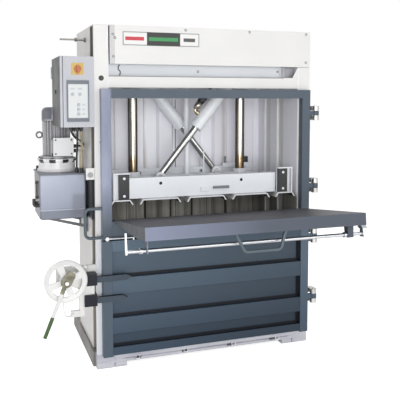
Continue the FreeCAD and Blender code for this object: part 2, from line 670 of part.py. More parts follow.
def flap_handle():
    """Round bar handle under the flap's front edge."""
    y = FLAP_AXIS_Y - FLAP_LENGTH + 85
    top = FLAP_AXIS_Z + FLAP_OVER_AXIS - FLAP_SHEET - RIB_DROP
    low = top - 118
    left, right = -125.0, 210.0
    points = [(left, y, top + 10), (left + 60, y, low), (right - 45, y, low), (right, y, top + 10)]
    rib = box(left - 50, right + 50, y - 20, y + 20, top, top + 30)
    return to_flap(cut(bent_tube(points, HANDLE_R, 30), [rib]))


# ---------------------------------------------------------------- press ram
def platen_plates():
    """Five press plates with their long edges folded down beside the strap slots."""
    edges = [-PLATEN_HALF]
    for x in strap_places():
        edges += [x - STRAP_SLOT / 2, x + STRAP_SLOT / 2]
    edges.append(PLATEN_HALF)
    plates = []
    for x0, x1 in zip(edges[0::2], edges[1::2]):
        top = PLATEN_BOTTOM + PLATEN_SHEET
        low = top - PLATEN_LIP
        fold = 22.0
        points = [(x0 + fold, top), (x1 - fold, top), (x1 - 4, low + 8), (x1, low), (x1 - 9, low),
                  (x1 - fold - 3, top - PLATEN_SHEET), (x0 + fold + 3, top - PLATEN_SHEET),
                  (x0 + 9, low), (x0, low), (x0 + 4, low + 8)]
        plates.append(prism_y(points, PLATEN_FRONT, PLATEN_REAR))
    return Part.makeCompound(plates)


def clevis_ears(x, y):
    """Two ears on the platen round one rod eye, with round tops."""
    inner = EYE_WIDTH / 2 + 1
    foot = PLATEN_BOTTOM + PLATEN_SHEET
    ears = []
    for side in (-1, 1):
        near = min(side * inner, side * (inner + EAR)) + y
        block = box(x - EYE_R, x + EYE_R, near, near + EAR, foot, PIVOT_Z)
        dome = rod((x, near, PIVOT_Z), (0, 1, 0), EYE_R, EAR)
        ears.append(fuse([block, dome]))
    return ears


def platen_frame():
    foot = PLATEN_BOTTOM + PLATEN_SHEET
    front_y = PLATEN_FRONT + 46
    front = box(-RAM_BEAM_HALF, RAM_BEAM_HALF, front_y, front_y + 60, foot, RAM_BEAM_TOP)
    middle = box(-RAM_BEAM_HALF, RAM_BEAM_HALF, ROD_Y - 42, ROD_Y + 42, foot, RAM_BEAM_TOP - 30)
    sides = [box(x - 30, x + 30, front_y, PLATEN_REAR - 4, foot, foot + 70)
             for x in (-RAM_BEAM_HALF + 30, RAM_BEAM_HALF - 30)]
    rear_face = REAR_CYL_Y + EYE_WIDTH / 2 + 1
    rear = box(-REAR_BEAM_HALF, REAR_BEAM_HALF, rear_face, PLATEN_REAR - 4, foot, RAM_BEAM_TOP + 6)
    sockets = [rod((x, ROD_Y, foot), (0, 0, 1), ROD_R + 16, RAM_BEAM_TOP - foot) for x in (-ROD_X, ROD_X)]
    ears = clevis_ears(-PIVOT_X, FRONT_CYL_Y) + clevis_ears(PIVOT_X, REAR_CYL_Y)
    body = fuse([front, middle, rear] + sides + sockets + ears)
    bores = [rod((x, ROD_Y, foot + 10), (0, 0, 1), ROD_R, RAM_BEAM_TOP - foot) for x in (-ROD_X, ROD_X)]
    pins = [rod((x, y - 60, PIVOT_Z), (0, 1, 0), CLEVIS_PIN_R, 120)
            for x, y in ((-PIVOT_X, FRONT_CYL_Y), (PIVOT_X, REAR_CYL_Y))]
    front_holes = [rod((x, front_y - 1, RAM_BEAM_TOP - 42), (0, 1, 0), 10, 30) for x in (-323, 277)]
    rear_holes = [rod((x, rear_face - 1, RAM_BEAM_TOP - 28), (0, 1, 0), 9, 30) for x in (-334, 160)]
    return cut(body, bores + pins + front_holes + rear_holes)


def guide_rods():
    foot = PLATEN_BOTTOM + PLATEN_SHEET + 10
    return Part.makeCompound([rod((x, ROD_Y, foot), (0, 0, 1), ROD_R, ROD_TOP - foot)
                              for x in (-ROD_X, ROD_X)])


def guide_blocks():
    """Angle brackets with sliding blocks that run on the chamber's side walls."""
    foot = PLATEN_BOTTOM + PLATEN_SHEET
    blocks = []
    for side in (-1, 1):
        outer = side * (CHAMBER_HALF - 28)
        inner = side * RAM_BEAM_HALF + side * 4
        x0, x1 = min(outer, inner), max(outer, inner)
        back = PLATEN_FRONT + 28
        plate = box(x0, x1, back, back + 8, foot, foot + GUIDE_HEIGHT)
        edge = box(min(outer, outer - side * 8), max(outer, outer - side * 8), PLATEN_FRONT, back,
                   foot, foot + GUIDE_HEIGHT)
        ledge = box(x0, x1, PLATEN_FRONT, back, foot + GUIDE_HEIGHT - 8, foot + GUIDE_HEIGHT)
        near = inner + side * 4
        far = inner + side * 74
        wear = box(min(near, far), max(near, far), PLATEN_FRONT + 4, back,
                   foot + 2, foot + GUIDE_HEIGHT - 10)
        bolts = [rod(((near + far) / 2, PLATEN_FRONT + 4, z), (0, -1, 0), 9, 4)
                 for z in (foot + 26, foot + GUIDE_HEIGHT - 36)]
        blocks += [fuse([plate, edge, ledge]), wear] + bolts
    return Part.makeCompound(blocks)


def clevis_pins():
    length = EYE_WIDTH + 2 + 2 * EAR + 8
    return Part.makeCompound([rod((x, y - length / 2, PIVOT_Z), (0, 1, 0), CLEVIS_PIN_R, length)
                              for x, y in ((-PIVOT_X, FRONT_CYL_Y), (PIVOT_X, REAR_CYL_Y))])


def switch_rods():
    """Stroke tube that rises through the roof, and a short feeler rod beside it."""
    foot = RAM_BEAM_TOP - 30
    tube = pipe((TUBE_X, ROD_Y, foot), (0, 0, 1), TUBE_R, TUBE_R - 4, ROD_TOP - foot)
    cap = rod((TUBE_X, ROD_Y, ROD_TOP - 6), (0, 0, 1), TUBE_R, 6)
    feeler = rod((128, ROD_Y, foot), (0, 0, 1), 5, 170)
    return Part.makeCompound([fuse([tube, cap]), feeler])


# ---------------------------------------------------------------- press cylinders
def cylinder_length():
    return math.hypot(HEAD_PIVOT_X + PIVOT_X, HEAD_PIVOT_Z - PIVOT_Z)


def stand_cylinder(shape, y):
    """Takes a piece drawn upright from the origin and leans it from the platen to the head."""
    lean = math.degrees(math.atan2(HEAD_PIVOT_X + PIVOT_X, HEAD_PIVOT_Z - PIVOT_Z))
    shape.rotate(V(0, 0, 0), Y_AXIS, lean)
    shape.translate(V(-PIVOT_X, y, PIVOT_Z))
    return shape


def piston_rod(y):
    eye = rod((0, -EYE_WIDTH / 2, 0), (0, 1, 0), EYE_R - 2, EYE_WIDTH)
    shank = rod((0, 0, 20), (0, 0, 1), PISTON_ROD_R, EXPOSED_ROD + PISTON_INSIDE - 20)
    end = EXPOSED_ROD + PISTON_INSIDE
    piston = rod((0, 0, end - PISTON_LENGTH), (0, 0, 1), BARREL_BORE - FIT, PISTON_LENGTH)
    bore = rod((0, -EYE_WIDTH, 0), (0, 1, 0), CLEVIS_PIN_R + FIT, 2 * EYE_WIDTH)
    return stand_cylinder(cut(fuse([eye, shank, piston]), [bore]), y)


def barrel(y):
    """Turned profile of tube, gland and end cap, with the head eye fused on."""
    mouth = EXPOSED_ROD
    collar = 45.0
    gland = GLAND_LENGTH
    cap_start = cylinder_length() - 80
    cap_end = cylinder_length() - 45
    profile = [(PISTON_ROD_R + FIT, mouth), (BARREL_R - 4, mouth), (BARREL_R, mouth + 4),
               (BARREL_R, mouth + collar), (BARREL_R - 3, mouth + collar + 2),
               (BARREL_R - 3, cap_start), (BARREL_R, cap_start + 3), (BARREL_R, cap_end), (0, cap_end),
               (0, cap_start), (BARREL_BORE, cap_start), (BARREL_BORE, mouth + gland),
               (PISTON_ROD_R + FIT, mouth + gland)]
    points = [V(r, 0, z) for r, z in profile]
    body = Part.Face(Part.makePolygon(points + [points[0]])).revolve(V(0, 0, 0), Z_AXIS, 360)
    length = cylinder_length()
    eye = rod((0, -EYE_WIDTH / 2, length), (0, 1, 0), EYE_R + 4, EYE_WIDTH)
    neck = box(-30, 30, -EYE_WIDTH / 2, EYE_WIDTH / 2, cap_end - 5, length)
    hole = rod((0, -EYE_WIDTH, length), (0, 1, 0), CLEVIS_PIN_R, 2 * EYE_WIDTH)
    return stand_cylinder(cut(fuse([body, eye, neck]), [hole]), y)


def barrel_fittings():
    """Port elbow near the front barrel's mouth and the line that runs up its side."""
    port = EXPOSED_ROD + 95
    line_start = port + 60
    line_length = cylinder_length() - 145 - line_start
    side = -(BARREL_R - 3)
    boss = rod((side + 2, 0, port), (-1, 0, 0), 16, 22)
    elbow = bent_tube([(side - 20, 0, port), (side - 38, 0, port), (side - 38, 0, line_start)], 11, 14)
    line = rod((side - 38, 0, line_start), (0, 0, 1), 9, line_length)
    clip_foot = line_start + 0.8 * line_length
    clip = box(side - 48, side - 1, -8, 8, clip_foot, clip_foot + 14)
    shape = fuse([boss, elbow, line, clip])
    barrel_wall = rod((0, 0, 0), (0, 0, 1), BARREL_R - 3, cylinder_length())
    return stand_cylinder(cut(shape, [barrel_wall]), FRONT_CYL_Y)


# ---------------------------------------------------------------- control cabinet
def cabinet_shell():
    """Folded box whose open left side has an inner flange and a gutter that stands into the door."""
    back = CABINET_FRONT + CABINET_DEPTH
    top = CABINET_BOTTOM + CABINET_HEIGHT
    wall = CABINET_SHEET
    shell = box(CABINET_LEFT, CABINET_RIGHT, CABINET_FRONT, back, CABINET_BOTTOM, top)
    hollow = box(CABINET_LEFT + wall, CABINET_RIGHT - wall, CABINET_FRONT + wall, back - wall,
                 CABINET_BOTTOM + wall, top - wall)
    gutter_end = CABINET_LEFT - CABINET_SEAL - CABINET_DOOR + SHEET + SEAT
    gutter = rim_box(gutter_end, CABINET_LEFT + wall, CABINET_RIM)
    opening = rim_box(gutter_end - 1, CABINET_LEFT + wall + 1, CABINET_RIM + SHEET)
    knob_hole = rod((SWITCH_X, CABINET_FRONT - 1, SWITCH_Z), (0, 1, 0), SWITCH_SHAFT_R, wall + 2)
    holes = [rod((x, CABINET_FRONT - 1, z), (0, 1, 0), BUTTON_R - 2, wall + 2) for x, z in BUTTON_PLACES]
    knuckles = []
    for lift in CABINET_HINGES:
        knuckles += cabinet_knuckle(CABINET_BOTTOM + lift, True)
    return cut(fuse([cut(shell, [hollow]), gutter] + knuckles), [opening, knob_hole] + holes)


def cabinet_knuckle(z, fixed):
    """A hinge knuckle behind the cabinet: the fixed ones carry the pins, the door's turn on them."""
    x, back = door_face(), CABINET_FRONT + CABINET_DEPTH
    y = back + CABINET_HINGE_R + GAP
    if not fixed:
        knuckle = rod((x, y, z), (0, 0, 1), CABINET_HINGE_R, CABINET_KNUCKLE)
        leaf = box(x - 3, x + 3, back - SHEET, y, z, z + CABINET_KNUCKLE)
        return [knuckle, leaf]
    foot = z - CABINET_KNUCKLE - 1
    knuckle = rod((x, y, foot), (0, 0, 1), CABINET_HINGE_R, CABINET_KNUCKLE)
    pin = rod((x, y, foot), (0, 0, 1), CABINET_HINGE_R / 2, 2 * CABINET_KNUCKLE)
    arm = box(x, CABINET_LEFT + 24, y - 2, y + 2, foot, foot + CABINET_KNUCKLE)
    seat = box(CABINET_LEFT + 8, CABINET_LEFT + 24, back - 1, y + 2, foot, foot + CABINET_KNUCKLE)
    return [knuckle, pin, arm, seat]


def rim_box(x0, x1, inset):
    """A block as large as the cabinet's side, less an inset all round."""
    return box(x0, x1, CABINET_FRONT + inset, CABINET_FRONT + CABINET_DEPTH - inset,
               CABINET_BOTTOM + inset, CABINET_BOTTOM + CABINET_HEIGHT - inset)


def door_face():
    """The X of the cabinet door's outside."""
    return CABINET_LEFT - CABINET_SEAL - CABINET_DOOR


def cabinet_door():
    """Folded door pan on the cabinet's left side, with the hole for its lock."""
    outer = door_face()
    inner = CABINET_LEFT - CABINET_SEAL
    pan = rim_box(outer, inner, 0)
    hollow = rim_box(outer + SHEET, inner + 1, SHEET)
    lock_hole = rod((outer - 1, LOCK_HOLE_Y, LOCK_HOLE_Z), (1, 0, 0), KEY_BARREL_R + FIT, SHEET + 2)
    knuckles, bores = [], []
    for lift in CABINET_HINGES:
        z = CABINET_BOTTOM + lift
        knuckles += cabinet_knuckle(z, False)
        y = CABINET_FRONT + CABINET_DEPTH + CABINET_HINGE_R + GAP
        bores.append(rod((outer, y, z - 1), (0, 0, 1), CABINET_HINGE_R / 2 + FIT, CABINET_KNUCKLE + 2))
    return cut(fuse([cut(pan, [hollow])] + knuckles), bores + [lock_hole])


def cabinet_lock():
    """Quarter-turn insert with a two-winged key bit and its tongue."""
    outer = door_face()
    at = (LOCK_HOLE_Y, LOCK_HOLE_Z)
    barrel_part = rod((outer - 3, *at), (1, 0, 0), KEY_BARREL_R, 14)
    rim = rod((outer - 5, *at), (1, 0, 0), KEY_BARREL_R + 5, 5 - SEAT)
    tongue = box(outer + 7, outer + 11, at[0] - 8, at[0] + 8, at[1] - 8, at[1] + 40)
    socket = rod((outer - 6, *at), (1, 0, 0), KEY_BARREL_R - 2, 5)
    bit = box(outer - 6, outer - 1, at[0] - 5, at[0] + 5, at[1] - 1.5, at[1] + 1.5)
    return fuse([cut(fuse([rim, barrel_part, tongue]), [socket]), bit])


def switch_plate():
    half = 37.0
    plate = box(SWITCH_X - half, SWITCH_X + half, CABINET_FRONT - SWITCH_PLATE, CABINET_FRONT,
                SWITCH_Z - half, SWITCH_Z + half)
    hole = rod((SWITCH_X, CABINET_FRONT - SWITCH_PLATE - 1, SWITCH_Z), (0, 1, 0),
               SWITCH_SHAFT_R, SWITCH_PLATE + 2)
    return cut(plate, [hole])


def switch_knob():
    """Round skirt, raised grip bar that points down, and the shaft behind it."""
    face = CABINET_FRONT - SWITCH_PLATE - SEAT
    skirt = rod((SWITCH_X, face, SWITCH_Z), (0, -1, 0), 23, 9)
    grip = prism_y([(SWITCH_X - 7, SWITCH_Z + 20), (SWITCH_X + 7, SWITCH_Z + 20),
                    (SWITCH_X + 6, SWITCH_Z - 30), (SWITCH_X - 6, SWITCH_Z - 30)], face - 27, face - 8)
    shaft = rod((SWITCH_X, face - 1, SWITCH_Z), (0, 1, 0), SWITCH_SHAFT_R - SEAT, 40)
    return fuse([skirt, grip, shaft])


def button_panel():
    """Raised frame with a set-back face plate."""
    x0, x1 = PANEL_LEFT, PANEL_RIGHT
    z0, z1 = PANEL_FOOT, PANEL_FOOT + PANEL_HEIGHT
    proud = 10.0
    face = CABINET_FRONT
    frame_plate = box(x0, x1, face - proud, face, z0, z1)
    recess = box(x0 + proud, x1 - proud, face - proud - 1, face - proud / 2, z0 + 26, z1 - 26)
    holes = [rod((x, face - proud - 1, z), (0, 1, 0), BUTTON_R, proud + 2) for x, z in BUTTON_PLACES]
    return cut(frame_plate, [recess] + holes)


def push_button(x, z):
    cap = rod((x, CABINET_FRONT - BUTTON_STROKE, z), (0, -1, 0), BUTTON_R - 0.5, 6)
    stem = rod((x, CABINET_FRONT - BUTTON_STROKE - 1, z), (0, 1, 0), BUTTON_R - 3, 20)
    return fuse([cap, stem])


def gland(x, y, z, way):
    """Gland body and nut round a lead, drawn from the wall that it is screwed into."""
    body = rod((x, y, z), way, 14, 22)
    nut = rod((x, y, z), way, 11, 22 + GLAND_NUT)
    bore = rod((x, y, z), way, CABLE_R + SEAT, 50)
    return cut(fuse([body, nut]), [bore])


def terminal_side():
    """The X of the terminal box's right side, where the motor's leads go in."""
    return TERMINAL_X + TERMINAL_WIDTH / 2


def cable_glands():
    """A gland at both ends of each lead."""
    box_y = TERMINAL_FRONT + TERMINAL_DEPTH / 2 + 4
    glands = []
    for x, y, drop in MOTOR_LEADS:
        glands.append(gland(x, y, CABINET_BOTTOM, (0, 0, -1)))
        glands.append(gland(terminal_side(), box_y, TERMINAL_TOP - drop, (1, 0, 0)))
    for x, y, lid_y in VALVE_LEADS:
        glands.append(gland(x, y, CABINET_BOTTOM, (0, 0, -1)))
        glands.append(gland(x + 25, lid_y, TANK_TOP + LID, (0, 0, 1)))
    return Part.makeCompound(glands)


def control_cables():
    """Two leads to the motor's terminal box and two down to the valves under the tank's lid."""
    start = CABINET_BOTTOM - 5
    below = CABINET_BOTTOM - 60
    box_y = TERMINAL_FRONT + TERMINAL_DEPTH / 2 + 4
    side = terminal_side()
    leads = []
    for x, y, drop in MOTOR_LEADS:
        z = TERMINAL_TOP - drop
        route = [(x, y, start), (x, y, below), (side + 70, (y + box_y) / 2 + 20, z + 20),
                 (side + 64, box_y, z), (side, box_y, z)]
        leads.append(bent_tube(route, CABLE_R, 20))
    for x, y, lid_y in VALVE_LEADS:
        lid = TANK_TOP + LID
        route = [(x, y, start), (x, y, below), (x + 25, lid_y - 50, lid + 210), (x + 25, lid_y, lid + 110),
                 (x + 25, lid_y, lid)]
        leads.append(bent_tube(route, CABLE_R, 30))
    return Part.makeCompound(leads)


# ---------------------------------------------------------------- power unit
def oil_tank():
    tank = box(TANK_LEFT, TANK_RIGHT, TANK_FRONT, TANK_REAR, TANK_BOTTOM, TANK_TOP)
    upright = [edge for edge in tank.Edges if abs(edge.Vertexes[0].Z - edge.Vertexes[1].Z) > 1]
    tank = tank.makeFillet(12, upright)
    hollow = box(TANK_LEFT + 4, TANK_RIGHT - 4, TANK_FRONT + 4, TANK_REAR - 4,
                 TANK_BOTTOM + 4, TANK_TOP + 1)
    seam = TANK_BOTTOM + 62
    groove = cut(box(TANK_LEFT - 1, TANK_RIGHT + 1, TANK_FRONT - 1, TANK_REAR + 1, seam, seam + 4),
                 [box(TANK_LEFT + 2, TANK_RIGHT - 2, TANK_FRONT + 2, TANK_REAR - 2, seam - 1, seam + 5)])
    return cut(tank, [hollow, groove])


def tank_lid():
    lid = box(TANK_LEFT - 6, TANK_RIGHT + 6, TANK_FRONT - 6, TANK_REAR + 6, TANK_TOP, TANK_TOP + LID)
    return cut(lid, [rod((UNIT_X, UNIT_Y, TANK_TOP - 1), (0, 0, 1), 50, LID + 2)])


def bell_housing():
    """Turned bell between lid and motor: foot flange, waist and motor flange."""
    low = TANK_TOP + LID
    waist = BELL_R - BELL_WAIST
    profile = [(60, low), (BELL_R, low), (BELL_R, low + 14), (waist, low + 18),
               (waist, low + BELL_HEIGHT - 22), (BELL_R, low + BELL_HEIGHT - 18),
               (BELL_R, low + BELL_HEIGHT), (60, low + BELL_HEIGHT)]
    points = [V(r, 0, z) for r, z in profile]
    body = Part.Face(Part.makePolygon(points + [points[0]])).revolve(V(0, 0, 0), Z_AXIS, 360)
    body.translate(V(UNIT_X, UNIT_Y, 0))
    return body


def unit_bolts():
    """Cap screws round the motor flange."""
    bolts = []
    for turn in range(8):
        angle = math.radians(22.5 + 45 * turn)
        x = UNIT_X + (BELL_R - 10) * math.cos(angle)
        y = UNIT_Y + (BELL_R - 10) * math.sin(angle)
        bolts.append(rod((x, y, MOTOR_FOOT), (0, 0, 1), 7, 9))
    return Part.makeCompound(bolts)


def motor_body():
    """Finned motor housing as a toothed outline drawn upwards, with flanges and the shaft bore."""
    low = MOTOR_FOOT
    fins = 24
    root = MOTOR_R - 12
    outline = []
    for number in range(fins):
        middle = 360.0 * number / fins
        for offset, radius in ((-4.5, root), (-1.6, MOTOR_R), (1.6, MOTOR_R), (4.5, root)):
            angle = math.radians(middle + offset)
            outline.append((UNIT_X + radius * math.cos(angle), UNIT_Y + radius * math.sin(angle)))
    finned = prism_z(outline, low + 16, low + MOTOR_HEIGHT - 12)
    foot = rod((UNIT_X, UNIT_Y, low), (0, 0, 1), BELL_R - 22, 16)
    top = rod((UNIT_X, UNIT_Y, low + MOTOR_HEIGHT - 12), (0, 0, 1), MOTOR_R - 2, 12)
    pad = box(UNIT_X - 50, UNIT_X + 50, TERMINAL_FRONT + TERMINAL_DEPTH, UNIT_Y,
              TERMINAL_TOP - TERMINAL_HEIGHT + 14, TERMINAL_TOP - 14)
    bore = rod((UNIT_X, UNIT_Y, low - 1), (0, 0, 1), SHAFT_R + FIT, MOTOR_HEIGHT + 2)
    return cut(fuse([finned, foot, top, pad]), [bore])


def motor_fan():
    """Shaft with the cooling fan on its upper end."""
    top = MOTOR_TOP
    shaft = rod((UNIT_X, UNIT_Y, MOTOR_FOOT - 70), (0, 0, 1), SHAFT_R, MOTOR_HEIGHT + 110)
    hub = rod((UNIT_X, UNIT_Y, top + 8), (0, 0, 1), 26, 26)
    blades = []
    for number in range(6):
        blade = box(UNIT_X + 18, UNIT_X + MOTOR_R - 20, UNIT_Y - 2, UNIT_Y + 2, top + 8, top + 32)
        blade.rotate(V(UNIT_X, UNIT_Y, 0), Z_AXIS, 60 * number)
        blades.append(blade)
    return fuse([shaft, hub] + blades)


def fan_cowl():
    """Spun cowl: straight skirt and rounded crown, with a ring of air slots."""
    skirt = MOTOR_TOP - 24
    outer = MOTOR_R + SEAT + COWL_SHEET
    crown = MOTOR_TOP + COWL_HEIGHT
    bend = 36.0

    def section(radius, high):
        points = [V(0, 0, skirt), V(radius, 0, skirt)]
        for turn in range(0, 91, 18):
            angle = math.radians(turn)
            points.append(V(radius - bend + bend * math.cos(angle), 0, high - bend + bend * math.sin(angle)))
        points.append(V(0, 0, high))
        return Part.Face(Part.makePolygon(points + [points[0]])).revolve(V(0, 0, 0), Z_AXIS, 360)

    shell = section(outer, crown).cut(section(outer - COWL_SHEET, crown - COWL_SHEET))
    slots = []
    for number in range(8):
        slot = box(24, outer - bend - 4, -5, 5, crown - 6, crown + 2)
        slot.rotate(V(0, 0, 0), Z_AXIS, 45 * number)
        slots.append(slot)
    cowl = cut(shell, slots)
    cowl.translate(V(UNIT_X, UNIT_Y, 0))
    return cowl


def terminal_box():
    half = TERMINAL_WIDTH / 2
    x0, x1 = TERMINAL_X - half, TERMINAL_X + half
    inner = TERMINAL_FRONT + TERMINAL_COVER
    bottom = TERMINAL_TOP - TERMINAL_HEIGHT
    body = box(x0, x1, inner, TERMINAL_FRONT + TERMINAL_DEPTH, bottom, TERMINAL_TOP)
    cover = box(x0 - 3, x1 + 3, TERMINAL_FRONT, inner, bottom - 3, TERMINAL_TOP + 3)
    screws = [rod((x, TERMINAL_FRONT, z), (0, -1, 0), 6, 3)
              for x in (x0 + 12, x1 - 12) for z in (bottom + 12, TERMINAL_TOP - 12)]
    return fuse([body, cover] + screws)


def lifting_eye():
    """Cast ring screwed into the motor's side."""
    z = MOTOR_TOP - 124
    x = UNIT_X - MOTOR_R - 22
    section = [V(20 + 6 * math.cos(math.radians(turn)), 6 * math.sin(math.radians(turn)), 0)
               for turn in range(0, 360, 36)]
    ring = Part.Face(Part.makePolygon(section + [section[0]])).revolve(V(0, 0, 0), Y_AXIS, 360)
    ring.translate(V(x, UNIT_Y, z))
    shank = rod((x + 18, UNIT_Y, z), (1, 0, 0), 8, 12)
    collar = rod((x + 26, UNIT_Y, z), (1, 0, 0), 12, 7)
    motor = rod((UNIT_X, UNIT_Y, z - 60), (0, 0, 1), MOTOR_R, 120)
    return cut(fuse([ring, shank, collar]), [motor])


def tank_fittings():
    """Sight gauge with its two banjo ends, filler cap and drain fittings on the tank's left side."""
    side = TANK_LEFT
    y = TANK_FRONT + 120
    gauge = box(side - 14, side - 4, y - 11, y + 11, TANK_TOP - 173, TANK_TOP - 45)
    ends = [rod((side, y, z), (-1, 0, 0), 9, 18) for z in (TANK_TOP - 160, TANK_TOP - 58)]
    drain_z = TANK_BOTTOM + 84
    drain = rod((side, y + 60, drain_z), (-1, 0, 0), 15, 30)
    elbow = bent_tube([(side, y - 50, drain_z), (side - 34, y - 50, drain_z),
                       (side - 34, y - 50, drain_z + 50)], 11, 16)
    filler = rod((TANK_LEFT + 30, TANK_REAR - 28, TANK_TOP + LID), (0, 0, 1), 20, 26)
    return Part.makeCompound([fuse([gauge] + ends), drain, elbow, filler])


def tank_bracket():
    """Shelf under the tank on two slanting struts with wall plates."""
    low = TANK_BOTTOM - 6
    shelf = box(TANK_LEFT + 10, -HALF_WIDTH, TANK_FRONT + 8, TANK_REAR - 8, low, TANK_BOTTOM)
    struts = []
    for y in (TANK_FRONT + 30, TANK_REAR - 42):
        struts.append(prism_y([(TANK_LEFT + 44, low), (TANK_LEFT + 106, low), (-HALF_WIDTH, low - 56),
                               (-HALF_WIDTH, low - 78)], y, y + 12))
        struts.append(box(-HALF_WIDTH - 8, -HALF_WIDTH, y - 14, y + 26, low - 100, low))
    return fuse([shelf] + struts)


# ---------------------------------------------------------------- door lock
def lock_arms():
    """Two pointed straps welded across the lower door's left post, each with an end block."""
    arms = []
    for bottom, tip in zip(ARM_LEVELS, (-562.0, -590.0)):
        top = bottom + ARM_HEIGHT
        middle = (bottom + top) / 2
        strap = prism_y([(ARM_LEFT, bottom), (tip - 40, bottom), (tip, middle), (tip - 40, top),
                         (ARM_LEFT, top)], DOOR_FRONT - 28, DOOR_FRONT)
        block = box(ARM_LEFT, DOOR_LEFT - 46, DOOR_FRONT - 40, DOOR_BACK - 14, bottom - 14, top + 22)
        arms.append(fuse([strap, block]))
    return Part.makeCompound(arms)


def lock_carrier():
    """Upright bar on the arm ends with the spindle's bearing block and its lower bracket."""
    low = 400.0
    high = ARM_LEVELS[0] + ARM_HEIGHT + 34
    near, far = CARRIER_FRONT, CARRIER_BACK
    upright = box(ARM_LEFT - 30, ARM_LEFT, near, far, low, high)
    bearing_front = WHEEL_BACK + GAP
    bearing = rod((LOCK_X, bearing_front, LOCK_Z), (0, 1, 0), 34, far - bearing_front)
    bridge = prism_y([(LOCK_X, LOCK_Z + 30), (ARM_LEFT - 30, high - 10), (ARM_LEFT - 30, LOCK_Z - 70),
                      (LOCK_X, LOCK_Z - 30)], near, far)
    link = box(ARM_LEFT, DOOR_LEFT - 60, near + 6, far - 6, ARM_LEVELS[1] + ARM_HEIGHT + 22,
               ARM_LEVELS[0] - 14)
    bracket = box(ARM_LEFT - 84, ARM_LEFT - 30, near + 4, far - 4, low, low + 40)
    bore = rod((LOCK_X, bearing_front - 1, LOCK_Z), (0, 1, 0), SPINDLE_R + FIT, far - bearing_front + 2)
    return cut(fuse([upright, bearing, bridge, link, bracket]), [bore])


def lock_catch():
    """Slotted plate welded to the left wall, for the spindle's hammer head to pass through."""
    plate = box(LOCK_X - 46, -HALF_WIDTH, 6, 24, LOCK_Z - 62, LOCK_Z + 62)
    slot = box(LOCK_X - SPINDLE_R - 4, LOCK_X + SPINDLE_R + 4, 0, 30, LOCK_Z - 36, LOCK_Z + 36)
    return cut(plate, [slot])


def handwheel():
    """Dished wheel with four spokes, pressed on the spindle, and the hammer head at its far end."""
    rim_profile = [V(WHEEL_R - WHEEL_RIM, 0, 0), V(WHEEL_R - 8, 0, -6), V(WHEEL_R, 0, 2),
                   V(WHEEL_R, 0, 14), V(WHEEL_R - 8, 0, 20), V(WHEEL_R - WHEEL_RIM, 0, 12)]
    rim = Part.Face(Part.makePolygon(rim_profile + [rim_profile[0]])).revolve(V(0, 0, 0), Z_AXIS, 360)
    hub = rod((0, 0, 0), (0, 0, 1), 30, WHEEL_HUB)
    spokes = []
    for number in range(4):
        spoke = prism_z([(20, -17), (WHEEL_R - WHEEL_RIM + 4, -24), (WHEEL_R - WHEEL_RIM + 4, 24),
                         (20, 17)], 3, 12)
        spoke.rotate(V(0, 0, 0), Z_AXIS, 90 * number + 20)
        spokes.append(spoke)
    hub_bore = rod((0, 0, -1), (0, 0, 1), SPINDLE_R, WHEEL_HUB + 2)
    wheel = cut(fuse([rim, hub] + spokes), [hub_bore])
    spindle = rod((0, 0, -SPINDLE_REACH), (0, 0, 1), SPINDLE_R, SPINDLE_REACH + WHEEL_HUB + SPINDLE_NOSE)
    head = box(-SPINDLE_R, SPINDLE_R, -30, 30, -SPINDLE_REACH - 24, -SPINDLE_REACH)
    screw = Part.makeCompound([wheel, spindle, head])
    screw.rotate(V(0, 0, 0), X_AXIS, 90)
    screw.translate(V(LOCK_X, WHEEL_BACK, LOCK_Z))
    return screw


def ratchet_lever():
    """Ratchet head round the spindle with its flat lever bar."""
    thick = RATCHET_THICK
    bar_end = GRIP_LENGTH - LEVER_LENGTH
    head = rod((0, 0, 0), (0, -1, 0), 34, thick)
    pawl_box = prism_y([(-34, -6), (-30, 22), (-4, 76), (28, 80), (40, 52), (34, -6)], -thick, 0)
    bar = prism_y([(-14, -20), (14, -20), (11, bar_end), (-11, bar_end)], -14, -6)
    bore = rod((0, 1, 0), (0, -1, 0), SPINDLE_R + FIT, thick + 2)
    return lean_lever(cut(fuse([head, pawl_box, bar]), [bore]))


def lean_lever(shape):
    """Leans a piece drawn hanging from the origin and puts it in front of the wheel's hub."""
    shape.rotate(V(0, 0, 0), Y_AXIS, LEVER_LEAN)
    shape.translate(V(LOCK_X, WHEEL_BACK - WHEEL_HUB - GAP, LOCK_Z))
    return shape


def lever_grip():
    start = GRIP_LENGTH - LEVER_LENGTH
    grip = prism_y([(-12, start), (12, start), (11, -LEVER_LENGTH), (-11, -LEVER_LENGTH)], -18, -2)
    long_edges = [edge for edge in grip.Edges if edge.BoundBox.ZLength > GRIP_LENGTH / 2]
    return lean_lever(grip.makeFillet(5, long_edges))


